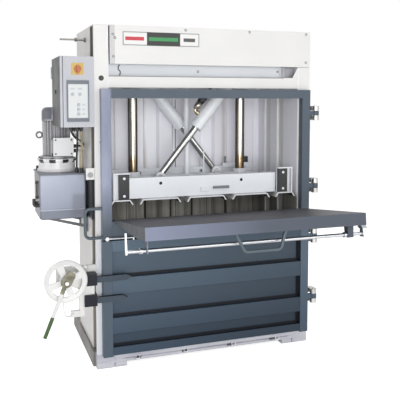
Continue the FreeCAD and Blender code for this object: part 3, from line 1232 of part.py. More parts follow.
# ---------------------------------------------------------------- all pieces
def all_pieces():
    pieces = {
        "base_frame": base_frame(), "base_sill": base_sill(), "side_wall_left": side_wall_left(),
        "side_wall_right": side_wall_right(), "rear_wall": rear_wall(), "roof_plate": roof_plate(),
        "head_frame": head_frame(), "rod_bushes": rod_bushes(), "top_cover": top_cover(),
        "recess_panel": recess_panel(), "stay_rod": stay_rod(), "hinge_brackets": hinge_brackets(),
        "lower_door": lower_door(), "upper_door": upper_door(), "grab_handle": grab_handle(),
        "door_latch": door_latch(), "flap": flap(), "flap_bar": flap_bar(),
        "flap_handle": flap_handle(), "platen_plates": platen_plates(),
        "platen_frame": platen_frame(), "guide_rods": guide_rods(), "guide_blocks": guide_blocks(),
        "clevis_pins": clevis_pins(), "switch_rods": switch_rods(),
        "front_rod": piston_rod(FRONT_CYL_Y), "front_barrel": barrel(FRONT_CYL_Y),
        "rear_rod": mirrored(piston_rod(REAR_CYL_Y)), "rear_barrel": mirrored(barrel(REAR_CYL_Y)),
        "barrel_fittings": barrel_fittings(), "cabinet_shell": cabinet_shell(),
        "cabinet_door": cabinet_door(), "cabinet_lock": cabinet_lock(),
        "switch_plate": switch_plate(), "switch_knob": switch_knob(),
        "button_panel": button_panel(), "cable_glands": cable_glands(),
        "control_cables": control_cables(), "oil_tank": oil_tank(), "tank_lid": tank_lid(),
        "bell_housing": bell_housing(), "unit_bolts": unit_bolts(), "motor_body": motor_body(),
        "motor_fan": motor_fan(), "fan_cowl": fan_cowl(), "terminal_box": terminal_box(),
        "lifting_eye": lifting_eye(), "tank_fittings": tank_fittings(),
        "tank_bracket": tank_bracket(), "lock_arms": lock_arms(), "lock_carrier": lock_carrier(),
        "lock_catch": lock_catch(), "handwheel": handwheel(), "ratchet_lever": ratchet_lever(),
        "lever_grip": lever_grip(),
    }
    for number, (x, z) in enumerate(BUTTON_PLACES, 1):
        pieces["button_%d" % number] = push_button(x, z)
    return pieces


os.makedirs("parts", exist_ok=True)
for node, shape in all_pieces().items():
    shape.translate(V(-FOOTPRINT_X, -FOOTPRINT_Y, 0))
    shape.exportStep("parts/%s.step" % node)
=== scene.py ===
import math

import bmesh
import bpy
from mathutils import Matrix, Vector


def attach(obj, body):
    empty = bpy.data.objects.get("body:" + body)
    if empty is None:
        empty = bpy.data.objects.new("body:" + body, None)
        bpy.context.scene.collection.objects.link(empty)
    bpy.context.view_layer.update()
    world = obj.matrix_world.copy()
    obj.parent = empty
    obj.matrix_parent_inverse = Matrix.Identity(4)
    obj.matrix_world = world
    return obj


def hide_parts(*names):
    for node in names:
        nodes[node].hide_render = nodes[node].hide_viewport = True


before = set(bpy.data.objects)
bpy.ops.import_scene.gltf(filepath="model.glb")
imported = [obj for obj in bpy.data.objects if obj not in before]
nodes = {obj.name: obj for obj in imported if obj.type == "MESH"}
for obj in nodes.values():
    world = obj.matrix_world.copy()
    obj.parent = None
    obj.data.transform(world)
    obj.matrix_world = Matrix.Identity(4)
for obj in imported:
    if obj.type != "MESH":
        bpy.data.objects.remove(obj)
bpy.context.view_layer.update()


def P(x, y, z):
    """A point of the part's drawing, in millimetres, as a point of the row frame in metres."""
    return Vector(((x + 155.0) / 1000, (y - 35.0) / 1000, z / 1000))


# ------------------------------------------------------------------ camera and light
CAMERA_DOWN = 4.263       # degrees below level
CAMERA_TURN = 19.512      # degrees to the right of straight ahead
LAMP_SIZE = 3.0           # edge of each square lamp, in metres

camera = bpy.data.objects.new("camera", bpy.data.cameras.new("camera"))
bpy.context.scene.collection.objects.link(camera)
camera.location = (-1.3824, -4.1797, 1.7932)
camera.rotation_euler = (math.radians(90 - CAMERA_DOWN), 0, math.radians(-CAMERA_TURN))
camera.data.lens = 57.729
camera.data.shift_x = 0.0034
camera.data.shift_y = -0.13
camera.data.clip_end = 100
bpy.context.scene.camera = camera
bpy.context.scene.view_settings.view_transform = "Standard"


def area_light(name, place, target, power):
    """A square white lamp that points at a target, both in the row frame's metres."""
    data = bpy.data.lights.new(name, "AREA")
    data.shape = "SQUARE"
    data.size = LAMP_SIZE
    data.energy = power
    lamp = bpy.data.objects.new(name, data)
    lamp.location = place
    lamp.rotation_euler = (Vector(target) - Vector(place)).to_track_quat("-Z", "Y").to_euler()
    bpy.context.scene.collection.objects.link(lamp)


area_light("key", (2.8, -5.6, 2.6), (0.1, -0.2, 1.0), 70)
area_light("front_fill", (-1.3, -6.2, 1.6), (0.2, 0.3, 1.2), 205)
area_light("left_fill", (-5.0, 0.2, 2.6), (-0.6, 0.1, 1.2), 40)
area_light("back_fill", (1.5, 5.0, 3.2), (0.0, 0.2, 1.2), 70)


# ------------------------------------------------------------------ colours, linear red, green and blue
WHITE = (0.79, 0.785, 0.77)
COOL_WHITE = (0.88, 0.91, 0.95)
# white of the chamber's inside, brighter than the outside as painted light
INSIDE_PAINTED_LIGHT = (0.93, 0.925, 0.985)
SLATE = (0.080, 0.105, 0.135)
TEAL = (0.135, 0.190, 0.250)
# lower end of the door skin's painted shade
SHADED_TEAL = (0.050, 0.076, 0.112)
CABINET_GREY = (0.50, 0.51, 0.555)
BARE_STEEL = (0.55, 0.55, 0.54)
SHADOW = (0.012, 0.014, 0.020)
BLACK = (0.012, 0.012, 0.012)
DEEP_GAP = (0.020, 0.021, 0.026)
DARK_SCREW = (0.10, 0.105, 0.12)
# brown soiling colour, also the colour of the painted shade in corners
GRIME_AND_CORNER_SHADE = (0.22, 0.20, 0.17)
# brown of tarnish stains, also the colour of painted shade under metal
TARNISH_AND_SHADE = (0.16, 0.11, 0.07)
DUST = (0.45, 0.44, 0.42)

# ------------------------------------------------------------------ places, in the drawing's millimetres
WALL_SHEET = 696          # outer side of the side walls' inner sheets, left and right of the middle
SKIN_LEFT, SKIN_RIGHT = -687, 703     # 1 mm past each end of the lower door's skin, under its posts
TROUGHS = ((156, 248), (358, 515), (625, 803))    # heights of the set-back strips of that skin
BALE_LEVEL = (1085, 1125)             # the walls' scuffs fade out upwards between these heights
# places across of brown stains on the rear wall, partly painted shadows of its ribs and of the right guide
# rod
WALL_STAINS_AND_SHADOWS = (-277, 372)
# dark strap slots, and rib edges in painted shade, of the rear wall: place across and half width
WALL_SLOTS_AND_RIB_SHADE = ((-499, 2), (-424, 2), (-355, 3), (-277, 10), (-154, 2), (-77, 8), (-26, 2), (99, 8), (238, 2),
              (387, 10))


def along(letter, place):
    """One coordinate of the drawing, in millimetres, as the row frame's, in metres."""
    return P(place, place, place)["XYZ".index(letter)]


# ------------------------------------------------------------------ material tools
CHIP_WIDTH = 0.0022       # metres from a sharp edge that paint chips reach


class Paintwork:
    """A material on one Principled shader, with short calls for its nodes."""

    def __init__(self, name):
        self.material = bpy.data.materials.new(name)
        self.material.use_nodes = True
        self.tree = self.material.node_tree
        self.shader = self.tree.nodes["Principled BSDF"]
        self.place = self.add("ShaderNodeTexCoord").outputs["Object"]
        self.normal = None

    def add(self, kind, **settings):
        node = self.tree.nodes.new(kind)
        for key, value in settings.items():
            setattr(node, key, value)
        return node

    def feed(self, socket, value):
        if isinstance(value, bpy.types.NodeSocket):
            self.tree.links.new(value, socket)
        elif isinstance(value, (tuple, list)) and len(value) == 3 and socket.type == "RGBA":
            socket.default_value = (*value, 1)
        else:
            socket.default_value = value

    def stretched(self, scale):
        node = self.add("ShaderNodeMapping")
        self.feed(node.inputs["Vector"], self.place)
        node.inputs["Scale"].default_value = scale
        return node.outputs["Vector"]

    def noise(self, scale, detail, stretch=None, rough=0.5):
        node = self.add("ShaderNodeTexNoise")
        self.feed(node.inputs["Vector"], self.stretched(stretch) if stretch else self.place)
        node.inputs["Scale"].default_value = scale
        node.inputs["Detail"].default_value = detail
        node.inputs["Roughness"].default_value = rough
        return node.outputs["Fac"]

    def ramp(self, value, low, high, start=0.0, end=1.0):
        node = self.add("ShaderNodeMapRange", clamp=True)
        self.feed(node.inputs["Value"], value)
        node.inputs["From Min"].default_value = low
        node.inputs["From Max"].default_value = high
        node.inputs["To Min"].default_value = start
        node.inputs["To Max"].default_value = end
        return node.outputs["Result"]

    def math(self, operation, a, b=0.0):
        node = self.add("ShaderNodeMath", operation=operation)
        self.feed(node.inputs[0], a)
        self.feed(node.inputs[1], b)
        return node.outputs[0]

    def both(self, *masks):
        """Masks multiplied: 1 only where all of them are."""
        out = masks[0]
        for mask in masks[1:]:
            out = self.math("MULTIPLY", out, mask)
        return out

    def mix(self, amount, a, b):
        """Colour a where the amount is 0, and b where it is 1."""
        node = self.add("ShaderNodeMix", data_type="RGBA")
        self.feed(node.inputs[0], amount)
        self.feed(node.inputs[6], a)
        self.feed(node.inputs[7], b)
        return node.outputs[2]

    def axis(self, letter):
        node = self.add("ShaderNodeSeparateXYZ")
        self.feed(node.inputs[0], self.place)
        return node.outputs["XYZ".index(letter)]

    def facing(self, letter):
        """The surface's own normal along one axis, from -1 to 1."""
        node = self.add("ShaderNodeSeparateXYZ")
        self.feed(node.inputs[0], self.add("ShaderNodeNewGeometry").outputs["True Normal"])
        return node.outputs["XYZ".index(letter)]

    def low_side(self, letter, full=-0.9, none=-0.6):
        """1 where the surface faces the low end of an axis: left for X, front for Y, down for Z."""
        return self.ramp(self.facing(letter), full, none, 1, 0)

    # past, span, window and disc take places and soft widths in the drawing's millimetres
    def past(self, letter, low, high, start=0.0, end=1.0):
        """A change from start to end between two places along an axis."""
        return self.ramp(self.axis(letter), along(letter, low), along(letter, high), start, end)

    def span(self, letter, low, high, soft=0.5):
        """1 between two places along an axis, 0 outside, soft on both sides of each place."""
        value = self.axis(letter)
        low, high, soft = along(letter, low), along(letter, high), soft / 1000
        return self.both(self.ramp(value, low - soft, low + soft),
                         self.ramp(value, high - soft, high + soft, 1, 0))

    def window(self, x0, x1, z0, z1, soft=0.5):
        """1 inside a rectangle seen from the machine's front."""
        return self.both(self.span("X", x0, x1, soft), self.span("Z", z0, z1, soft))

    def disc(self, letters, centre, radius, soft=0.6):
        """1 inside a round field about a place, seen along the third axis."""
        middle = P(*centre)
        squares = []
        for letter in letters:
            gap = self.math("SUBTRACT", self.axis(letter), middle["XYZ".index(letter)])
            squares.append(self.math("MULTIPLY", gap, gap))
        distance = self.math("SQRT", self.math("ADD", squares[0], squares[1]))
        return self.ramp(distance, (radius - soft) / 1000, (radius + soft) / 1000, 1, 0)

    def most(self, *masks):
        """The largest of several masks."""
        out = masks[0]
        for mask in masks[1:]:
            out = self.math("MAXIMUM", out, mask)
        return out

    def rounded(self, radius):
        """Softens the look of sharp edges, in metres."""
        node = self.add("ShaderNodeBevel", samples=4)
        node.inputs["Radius"].default_value = radius
        self.normal = node.outputs["Normal"]

    def edge_mask(self, radius):
        """Near 1 along sharp edges, from the difference of the rounded and the plain normal."""
        node = self.add("ShaderNodeBevel", samples=4)
        node.inputs["Radius"].default_value = radius
        dot = self.add("ShaderNodeVectorMath", operation="DOT_PRODUCT")
        self.feed(dot.inputs[0], node.outputs["Normal"])
        self.feed(dot.inputs[1], self.add("ShaderNodeNewGeometry").outputs["Normal"])
        return self.ramp(dot.outputs["Value"], 0.75, 0.99, 1, 0)

    def crevice(self, distance):
        """Near 0 in corners and narrow gaps, 1 in the open."""
        node = self.add("ShaderNodeAmbientOcclusion", samples=4)
        node.inputs["Distance"].default_value = distance
        return node.outputs["AO"]

    def bump(self, height, strength, distance):
        node = self.add("ShaderNodeBump")
        self.feed(node.inputs["Height"], height)
        node.inputs["Strength"].default_value = strength
        node.inputs["Distance"].default_value = distance
        if self.normal is not None:
            self.feed(node.inputs["Normal"], self.normal)
        self.normal = node.outputs["Normal"]

    def finish(self, colour, rough, metallic=0.0, **others):
        """Feeds the shader and gives back the material."""
        self.feed(self.shader.inputs["Base Color"], colour)
        self.feed(self.shader.inputs["Roughness"], rough)
        self.feed(self.shader.inputs["Metallic"], metallic)
        for key, value in others.items():
            self.feed(self.shader.inputs[key.replace("_", " ")], value)
        if self.normal is not None:
            self.feed(self.shader.inputs["Normal"], self.normal)
        return self.material


def shade(colour, amount):
    """A plain colour times an amount."""
    return tuple(max(0.0, min(1.0, part * amount)) for part in colour)


def paint_layers(work, colour, corner_shade_and_dirt, grime_and_shade=GRIME_AND_CORNER_SHADE):
    """Sprayed paint: slow cloudy variation, fine speckle of soil, and painted shade with some soiling that
    darkens corners and narrow gaps.
    """
    cloud = work.ramp(work.noise(2.3, 4.0), 0.3, 0.7)
    tone = work.mix(cloud, colour, shade_socket(work, colour, 0.95))
    speckle = work.ramp(work.noise(260.0, 2.0), 0.64, 0.74, 0.0, 0.10)
    tone = work.mix(speckle, tone, grime_and_shade)
    # painted shade, partly soiling: corners and narrow gaps darken towards the corner colour, which some
    # materials give as the shadow colour
    corner = work.ramp(work.crevice(0.05), 0.25, 0.8, corner_shade_and_dirt * 2.2, 0.0)
    patches = work.ramp(work.noise(7.0, 5.0, rough=0.65), 0.45, 0.75, 0.35, 1.0)
    return work.mix(work.both(corner, patches), tone, grime_and_shade)


def shade_socket(work, colour, amount):
    """A colour times an amount, for a plain colour or for one that nodes have mixed."""
    if isinstance(colour, tuple):
        return shade(colour, amount)
    return work.mix(1.0 - amount, colour, (0.0, 0.0, 0.0))


def spray_bump(work):
    """The fine ripple of sprayed enamel."""
    work.bump(work.noise(420.0, 2.0), 0.25, 0.0004)


def painted(name, colour, rough, corner_shade_and_dirt, wear=0.0, bare=(0.35, 0.35, 0.34), coat=0.0, grime_and_shade=GRIME_AND_CORNER_SHADE):
    """Enamel of one colour, chipped to the bare colour along its edges by the amount of wear."""
    work = Paintwork(name)
    tone = paint_layers(work, colour, corner_shade_and_dirt, grime_and_shade)
    if wear:
        chips = work.both(work.edge_mask(CHIP_WIDTH), work.ramp(work.noise(38.0, 6.0, rough=0.7), 0.47, 0.60))
        tone = work.mix(work.math("MULTIPLY", chips, wear), tone, bare)
    work.rounded(0.0012)
    spray_bump(work)
    gloss = work.ramp(work.noise(9.0, 3.0), 0.3, 0.7, rough - 0.05, rough + 0.07)
    return work.finish(tone, gloss, Coat_Weight=coat, Coat_Roughness=0.2)


def metal(name, colour, rough, stretch, stain=0.0, under=0.0):
    """Turned, drawn or ground metal with fine lines, stained, and with painted shade in a tarnish colour on
    the faces that point down.
    """
    work = Paintwork(name)
    lines = work.noise(22.0, 4.0, stretch=stretch)
    tone = work.mix(work.ramp(lines, 0.3, 0.7), colour, shade(colour, 0.8))
    if stain:
        blot = work.ramp(work.noise(14.0, 6.0, rough=0.65), 0.45, 0.72, 0.0, stain)
        tone = work.mix(blot, tone, TARNISH_AND_SHADE)
    # painted shade: faces that point down darken towards the tarnish colour
    if under:
        tone = work.mix(work.ramp(work.facing("Z"), -0.85, -0.45, under, 0.0), tone, TARNISH_AND_SHADE)
    work.rounded(0.0008)
    work.bump(lines, 0.12, 0.0004)
    gloss = work.ramp(lines, 0.3, 0.7, rough - 0.05, rough + 0.10)
    return work.finish(tone, gloss, 1.0)


def plastic(name, colour, rough=0.45, grain=520.0):
    """Moulded plastic or rubber with a fine grain and a little dust."""
    work = Paintwork(name)
    tone = work.mix(work.ramp(work.noise(12.0, 4.0), 0.3, 0.7), colour, shade(colour, 0.85))
    dust = work.ramp(work.noise(90.0, 4.0), 0.55, 0.75, 0.0, 0.12)
    tone = work.mix(dust, tone, DUST)
    work.rounded(0.0008)
    work.bump(work.noise(grain, 2.0), 0.3, 0.0003)
    return work.finish(tone, work.ramp(work.noise(30.0, 3.0), 0.3, 0.7, rough - 0.06, rough + 0.08))


# ------------------------------------------------------------------ materials
white_paint = painted("white_paint", WHITE, 0.40, 0.10)
ram_paint = painted("ram_paint", COOL_WHITE, 0.38, 0.12)
# its corners darken to the shadow colour as painted shade
handle_paint = painted("handle_paint", (0.070, 0.095, 0.115), 0.34, 0.06, wear=0.2, bare=(0.25, 0.27, 0.29),
                       grime_and_shade=SHADOW)
barrel_paint = painted("barrel_paint", (0.90, 0.93, 0.96), 0.26, 0.08, coat=0.4)
bracket_paint = painted("bracket_paint", DARK_SCREW, 0.42, 0.15, wear=0.4)
bright_steel = metal("bright_steel", (0.56, 0.56, 0.55), 0.32, (40, 40, 1), 0.3)
# the bar's faces that point down carry painted shade
latch_steel = metal("latch_steel", (0.56, 0.575, 0.60), 0.34, (1, 40, 40), under=0.6)
worn_steel = metal("worn_steel", (0.34, 0.33, 0.305), 0.40, (40, 40, 1), 0.4)
ring_steel = metal("ring_steel", (0.13, 0.13, 0.14), 0.42, (10, 10, 10), 0.4)
dark_steel = metal("dark_steel", (0.12, 0.12, 0.13), 0.38, (1, 30, 30), 0.4)
black_plastic = plastic("black_plastic", (0.022, 0.022, 0.025))
grey_plastic = plastic("grey_plastic", (0.45, 0.47, 0.50), 0.35)
yellow_plastic = plastic("yellow_plastic", (0.62, 0.42, 0.07), 0.30)
red_plastic = plastic("red_plastic", (0.50, 0.11, 0.01), 0.28)
green_rubber = plastic("green_rubber", (0.045, 0.095, 0.022), 0.55, 240.0)
cable_rubber = plastic("cable_rubber", (0.020, 0.020, 0.022), 0.42, 700.0)
pale_rubber = plastic("pale_rubber", (0.72, 0.72, 0.70), 0.42, 700.0)
amber_rubber = plastic("amber_rubber", (0.50, 0.42, 0.24), 0.42, 700.0)


def finish_paint(work, tone, corner_shade_and_dirt=0.10, rough=0.42, grime_and_shade=GRIME_AND_CORNER_SHADE, specular=0.5):
    """The layers that all painted sheet shares, over a colour that is already mixed."""
    tone = paint_layers(work, tone, corner_shade_and_dirt, grime_and_shade)
    work.rounded(0.0015)
    spray_bump(work)
    return work.finish(tone, work.ramp(work.noise(9.0, 3.0), 0.3, 0.7, rough - 0.03, rough + 0.07),
                       Specular_IOR_Level=specular)


def door_chips(work):
    """Paint knocked off the edges of the doors."""
    patches = work.ramp(work.noise(38.0, 6.0, rough=0.7), 0.50, 0.62, 0.0, 0.4)
    return work.both(work.edge_mask(CHIP_WIDTH), patches)


def below_platen(work):
    """Scuffed olive grey where bales rub the walls: lighter at the platen, streaked further down, and darker
    to the right as painted shade.
    """
    streak = work.ramp(work.noise(16.0, 5.0, stretch=(1, 1, 0.03), rough=0.7), 0.42, 0.62)
    # painted shade: the right part of the chamber is darker
    shaded = work.past("X", 60, 420)
    left = work.mix(streak, (0.56, 0.55, 0.49), (0.31, 0.305, 0.275))
    return work.mix(shaded, left, work.mix(streak, (0.34, 0.33, 0.30), (0.17, 0.165, 0.15)))


def wall_material():
    """Body walls: white outside, a cooler white inside made brighter as painted light, scuffed where bales
    rub below the ram, with brown stains that are partly painted shadows, and dark strap slots and rib edges
    in painted shade.
    """
    work = Paintwork("wall_paint")
    not_rearward = work.ramp(work.facing("Y"), 0.4, 0.6, 1, 0)
    inner = work.both(work.span("X", -WALL_SHEET, WALL_SHEET), not_rearward)
    low = work.both(inner, work.past("Z", *BALE_LEVEL, 1, 0))
    # painted light: the inside is a brighter white than the outside, where less light reaches
    tone = work.mix(inner, WHITE, INSIDE_PAINTED_LIGHT)
    # brown stains, partly painted shadows of the ribs and of the right guide rod
    stains = work.both(inner, work.most(*[work.span("X", x - 16, x + 16, 12) for x in WALL_STAINS_AND_SHADOWS]),
                       work.ramp(work.noise(6.0, 5.0, stretch=(1, 1, 0.2)), 0.40, 0.60, 0.0, 0.5))
    tone = work.mix(stains, tone, (0.42, 0.36, 0.30))
    tone = work.mix(low, tone, below_platen(work))
    # dark strap slots, and painted shade along rib edges, below the ram
    slots = work.both(low, work.most(*[work.span("X", x - width, x + width, 1) for x, width in WALL_SLOTS_AND_RIB_SHADE]))
    tone = work.mix(slots, tone, (0.02, 0.02, 0.02))
    seam = work.both(inner, work.window(-30, -23, 968, 1800, 1))
    tone = work.mix(seam, tone, (0.10, 0.10, 0.11))
    return finish_paint(work, tone, 0.14)


def left_wall_material():
    """As the other walls, with painted shade greying its outer side and in its groove, a painted shadow
    behind the tank, painted bluish light low on its front faces, and the white bracket of the door switch
    with its round grey plug."""
    work = Paintwork("left_wall_paint")
    outside = work.past("X", -WALL_SHEET - 4, -WALL_SHEET, 1, 0)
    groove = work.both(outside, work.past("X", -783, -780), work.span("Y", 22, 148, 2))
    # painted shade: the outer side is greyer than the front
    side_shade = work.both(work.past("X", -787, -784, 1, 0), work.past("Y", 140, 150))
    inner = work.past("X", -WALL_SHEET, -WALL_SHEET + 4)
    low = work.both(inner, work.past("Z", *BALE_LEVEL, 1, 0))
    tone = work.mix(side_shade, WHITE, (0.68, 0.66, 0.64))
    tone = work.mix(inner, tone, INSIDE_PAINTED_LIGHT)
    tone = work.mix(low, tone, below_platen(work))
    # painted light: front faces low down tinted bluish
    front = work.both(work.low_side("Y"), work.past("Z", 700, 1000, 1, 0))
    tone = work.mix(front, tone, (0.79, 0.81, 0.86))
    streaks = work.ramp(work.noise(11.0, 5.0, stretch=(1, 1, 0.05)), 0.4, 0.65)
    # painted shade in the groove, streaked
    tone = work.mix(groove, tone, work.mix(streaks, (0.12, 0.105, 0.09), (0.36, 0.33, 0.29)))
    # painted shadow behind the tank
    tank_shadow = work.both(outside, work.span("Y", 22, 640), work.span("Z", 985, 1285, 10))
    tone = work.mix(tank_shadow, tone, (0.030, 0.032, 0.040))
    bracket = work.past("X", -787, -786, 1, 0)
    plug = work.both(bracket, work.disc("XZ", (-813, 0, 1306), 17.5))
    tone = work.mix(plug, work.mix(bracket, tone, WHITE), (0.34, 0.35, 0.36))
    return finish_paint(work, tone, 0.14)


def head_material():
    """Head beams, white, with the shadow line under the set-back panel."""
    work = Paintwork("head_paint")
    line = work.both(work.window(-700, 580, 1947, 1953), work.past("Y", 1, 2, 1, 0))
    return finish_paint(work, work.mix(line, WHITE, (0.26, 0.25, 0.25)))


def door_material():
    """Slate door skin with painted shade: darker downwards and to the right, darker in the set-back strips,
    and with dark lines where the raised bands shade those strips; its corners darken to the shadow colour."""
    work = Paintwork("door_paint")
    skin = work.span("X", SKIN_LEFT, SKIN_RIGHT)
    # painted shade: the skin darkens downwards
    tone = work.mix(work.past("Z", 200, 950), SHADED_TEAL, TEAL)
    posts = work.most(work.past("X", SKIN_LEFT - 1, SKIN_LEFT + 1, 0.8, 0),
                      work.past("X", SKIN_RIGHT - 3, SKIN_RIGHT - 1, 0, 0.4))
    tone = work.mix(posts, tone, shade(SLATE, 1.15))
    trough = work.both(work.past("Y", -46, -44), skin)
    feet = work.most(*[work.span("Z", low - 2, low + 19, 4) for low, high in TROUGHS])
    ends = work.both(work.span("X", SKIN_RIGHT - 23, SKIN_RIGHT, 3),
                     work.most(*[work.span("Z", low, high) for low, high in TROUGHS]))
    shaded = work.most(feet, ends)
    # painted shadow lines at the foot and right end of each set-back strip
    tone = work.mix(work.both(trough, shaded), tone, SHADOW)
    trough_shade = work.both(trough, work.math("SUBTRACT", 1.0, shaded))
    # painted shade: the rest of each set-back strip is darker than the bands
    tone = work.mix(trough_shade, tone, work.mix(work.past("Z", 250, 880), shade(SHADED_TEAL, 0.85), shade(TEAL, 0.80)))
    # painted shade: the skin darkens to the right
    across = work.past("X", -690, 700)
    tone = work.mix(work.both(skin, across), tone, shade_socket(work, tone, 0.56))
    tone = work.mix(door_chips(work), tone, (0.24, 0.25, 0.27))
    return finish_paint(work, tone, 0.2, 0.40, SHADOW, 0.22)


def window_door_material():
    """Slate frame of the feed window, with a bluish painted sheen lighter down its left post, and corners
    darkened to the shadow colour.
    """
    work = Paintwork("window_door_paint")
    # painted highlight: a bluish sheen down the left post, broken up by noise
    dust = work.both(work.past("X", -690, -680, 1, 0),
                     work.past("Z", 950, 1250),
                     work.ramp(work.noise(7.0, 5.0, stretch=(1, 1, 0.25)), 0.25, 0.65, 0.45, 1.0))
    tone = work.mix(dust, SLATE, (0.35, 0.375, 0.50))
    return finish_paint(work, work.mix(door_chips(work), tone, (0.26, 0.27, 0.30)), 0.15, 0.38, SHADOW, 0.3)


def flap_material():
    """Slate paint whose top is rubbed and dusted by cardboard, with a painted sheen on the left of its lip
    and painted shade on its left side, its lower face and its corners.
    """
    work = Paintwork("flap_paint")
    top = work.ramp(work.facing("Z"), 0.8, 0.95)
    scuffs = work.ramp(work.noise(5.0, 8.0, stretch=(1, 5, 1), rough=0.72), 0.42, 0.70)
    worn = work.mix(scuffs, (0.058, 0.058, 0.070), (0.092, 0.090, 0.100))
    # painted highlight: a sheen on the left part of the lip
    sheen = work.past("X", -620, 40, 1, 0)
    lip = work.mix(sheen, (0.074, 0.086, 0.112), (0.20, 0.225, 0.31))
    # painted shade on the faces that look left
    side = work.low_side("X", -0.9, -0.5)
    lip = work.mix(side, lip, (0.070, 0.073, 0.082))
    tone = work.mix(top, lip, worn)
    # painted shade on the faces that point down
    underside_shade = work.low_side("Z", -0.5, -0.3)
    tone = work.mix(underside_shade, tone, (0.040, 0.045, 0.055))
    # corners darken to the shadow colour as painted shade
    tone = paint_layers(work, tone, 0.10, SHADOW)
    scratch = work.both(top, work.ramp(work.noise(60.0, 3.0, stretch=(1, 0.05, 1)), 0.66, 0.72, 0.0, 0.25))
    tone = work.mix(scratch, tone, (0.26, 0.25, 0.25))
    work.rounded(0.0018)
    work.bump(work.noise(300.0, 3.0), 0.3, 0.0005)
    return work.finish(tone, work.ramp(scuffs, 0, 1, 0.46, 0.60), Specular_IOR_Level=0.3)


def platen_material():
    """Press plates: white painted front edge, dark scuffed tops, and undersides darkened as painted shade."""
    work = Paintwork("platen_paint")
    front = work.past("Y", 18, 24, 1, 0)
    under = work.low_side("Z", -0.4, -0.2)
    scuffs = work.ramp(work.noise(9.0, 7.0, rough=0.7), 0.4, 0.7)
    top = work.mix(scuffs, (0.52, 0.52, 0.51), (0.36, 0.355, 0.345))
    tone = paint_layers(work, work.mix(front, top, COOL_WHITE), 0.16)
    # painted shade on the faces that point down, behind the front edge
    tone = work.mix(work.both(under, work.math("SUBTRACT", 1.0, front)), tone, (0.10, 0.10, 0.10))
    work.rounded(0.0012)
    spray_bump(work)
    return work.finish(tone, 0.45)


def ram_material():
    """Ram beams in cool white with the black insides of their bolt holes."""
    work = Paintwork("ram_beam_paint")
    front_holes = work.most(*[work.disc("XZ", (x, 0, 1226), 11) for x in (-323, 277)])
    rear_holes = work.most(*[work.disc("XZ", (x, 0, 1240), 10) for x in (-334, 160)])
    holes = work.most(work.both(work.past("Y", 120, 130, 1, 0), front_holes),
                      work.both(work.past("Y", 560, 570), rear_holes))
    return finish_paint(work, work.mix(holes, COOL_WHITE, BLACK), 0.12, 0.40)


def guide_material():
    """Angle brackets white, sliding blocks black, screw heads white: told apart by their depth."""
    work = Paintwork("guide_finish")
    block = work.both(work.span("Y", 17.5, 42.5), work.past("Z", 1298.5, 1299, 1, 0))
    left = work.span("X", -624, -552)
    right = work.span("X", 552, 624)
    block = work.both(block, work.most(left, right))
    return finish_paint(work, work.mix(block, COOL_WHITE, (0.016, 0.017, 0.018)), 0.12)


def guide_rod_material():
    """Hard chrome with painted reflections set by which way each face turns: a brown film on the flanks that
    is partly oil and partly painted reflection, browner near the foot, and darkest at the outline.
    """
    work = Paintwork("guide_rod")
    drips = work.ramp(work.noise(9.0, 6.0, stretch=(1, 1, 0.12), rough=0.68), 0.36, 0.60)
    foot = work.past("Z", 1355, 1405, 1.0, 0.0)
    side = work.facing("X")
    thick = work.ramp(drips, 0, 1, 0.75, 1.0)
    # painted reflection: the brown film lies where the surface turns to either side
    film = work.both(work.most(work.ramp(side, -0.74, -0.62, 1, 0), work.ramp(side, 0.02, 0.16)), thick)
    tone = work.mix(film, (0.60, 0.565, 0.51), (0.34, 0.315, 0.27))
    tone = work.mix(work.both(foot, thick), tone, (0.28, 0.205, 0.12))
    # painted reflection: darkest near the outline
    outline_reflection = work.most(work.ramp(side, -0.95, -0.84, 1, 0), work.ramp(side, 0.38, 0.60))
    tone = work.mix(outline_reflection, tone, (0.060, 0.053, 0.042))
    lines = work.noise(60.0, 3.0, stretch=(40, 40, 1))
    work.bump(lines, 0.06, 0.0003)
    return work.finish(tone, work.ramp(drips, 0, 1, 0.14, 0.28), 1.0)


def piston_material():
    """Hard chrome with a thin oil film."""
    work = Paintwork("piston_rod")
    film = work.ramp(work.noise(20.0, 5.0), 0.4, 0.65)
    tone = work.mix(film, (0.62, 0.62, 0.62), (0.40, 0.385, 0.36))
    work.bump(work.noise(80.0, 2.0), 0.05, 0.0003)
    return work.finish(tone, work.ramp(film, 0, 1, 0.14, 0.26), 1.0)


def panel_material():
    """Button panel: dark slate frame and a pale centre with plain grey fields."""
    work = Paintwork("panel_finish")
    centre = work.window(-955, -830, 1680, 1895)
    slate, pale = (0.10, 0.12, 0.15), (0.67, 0.69, 0.70)
    tone = work.mix(centre, slate, pale)
    for x0, x1, z0, z1 in ((-940, -912, 1860, 1872), (-894, -866, 1860, 1872), (-866, -848, 1759, 1771),
                           (-866, -848, 1729, 1741), (-866, -848, 1699, 1711)):
        tone = work.mix(work.window(x0, x1, z0, z1), tone, (0.52, 0.54, 0.56))
    tone = paint_layers(work, tone, 0.05)
    work.rounded(0.0008)
    work.bump(work.noise(520.0, 2.0), 0.2, 0.0003)
    return work.finish(tone, 0.35)


def handwheel_material():
    """Cream enamel on the wheel, bare steel on its spindle and hammer head."""
    work = Paintwork("handwheel_finish")
    spindle = work.most(work.past("Y", -100, -99),
                        work.past("Y", -125, -124, 1, 0))
    tone = paint_layers(work, (0.82, 0.82, 0.81), 0.16)
    chips = work.both(work.edge_mask(0.002), work.ramp(work.noise(45.0, 6.0), 0.46, 0.6, 0.0, 0.6))
    tone = work.mix(chips, tone, (0.30, 0.29, 0.26))
    tone = work.mix(spindle, tone, BARE_STEEL)
    work.rounded(0.0015)
    spray_bump(work)
    return work.finish(tone, 0.40, spindle)


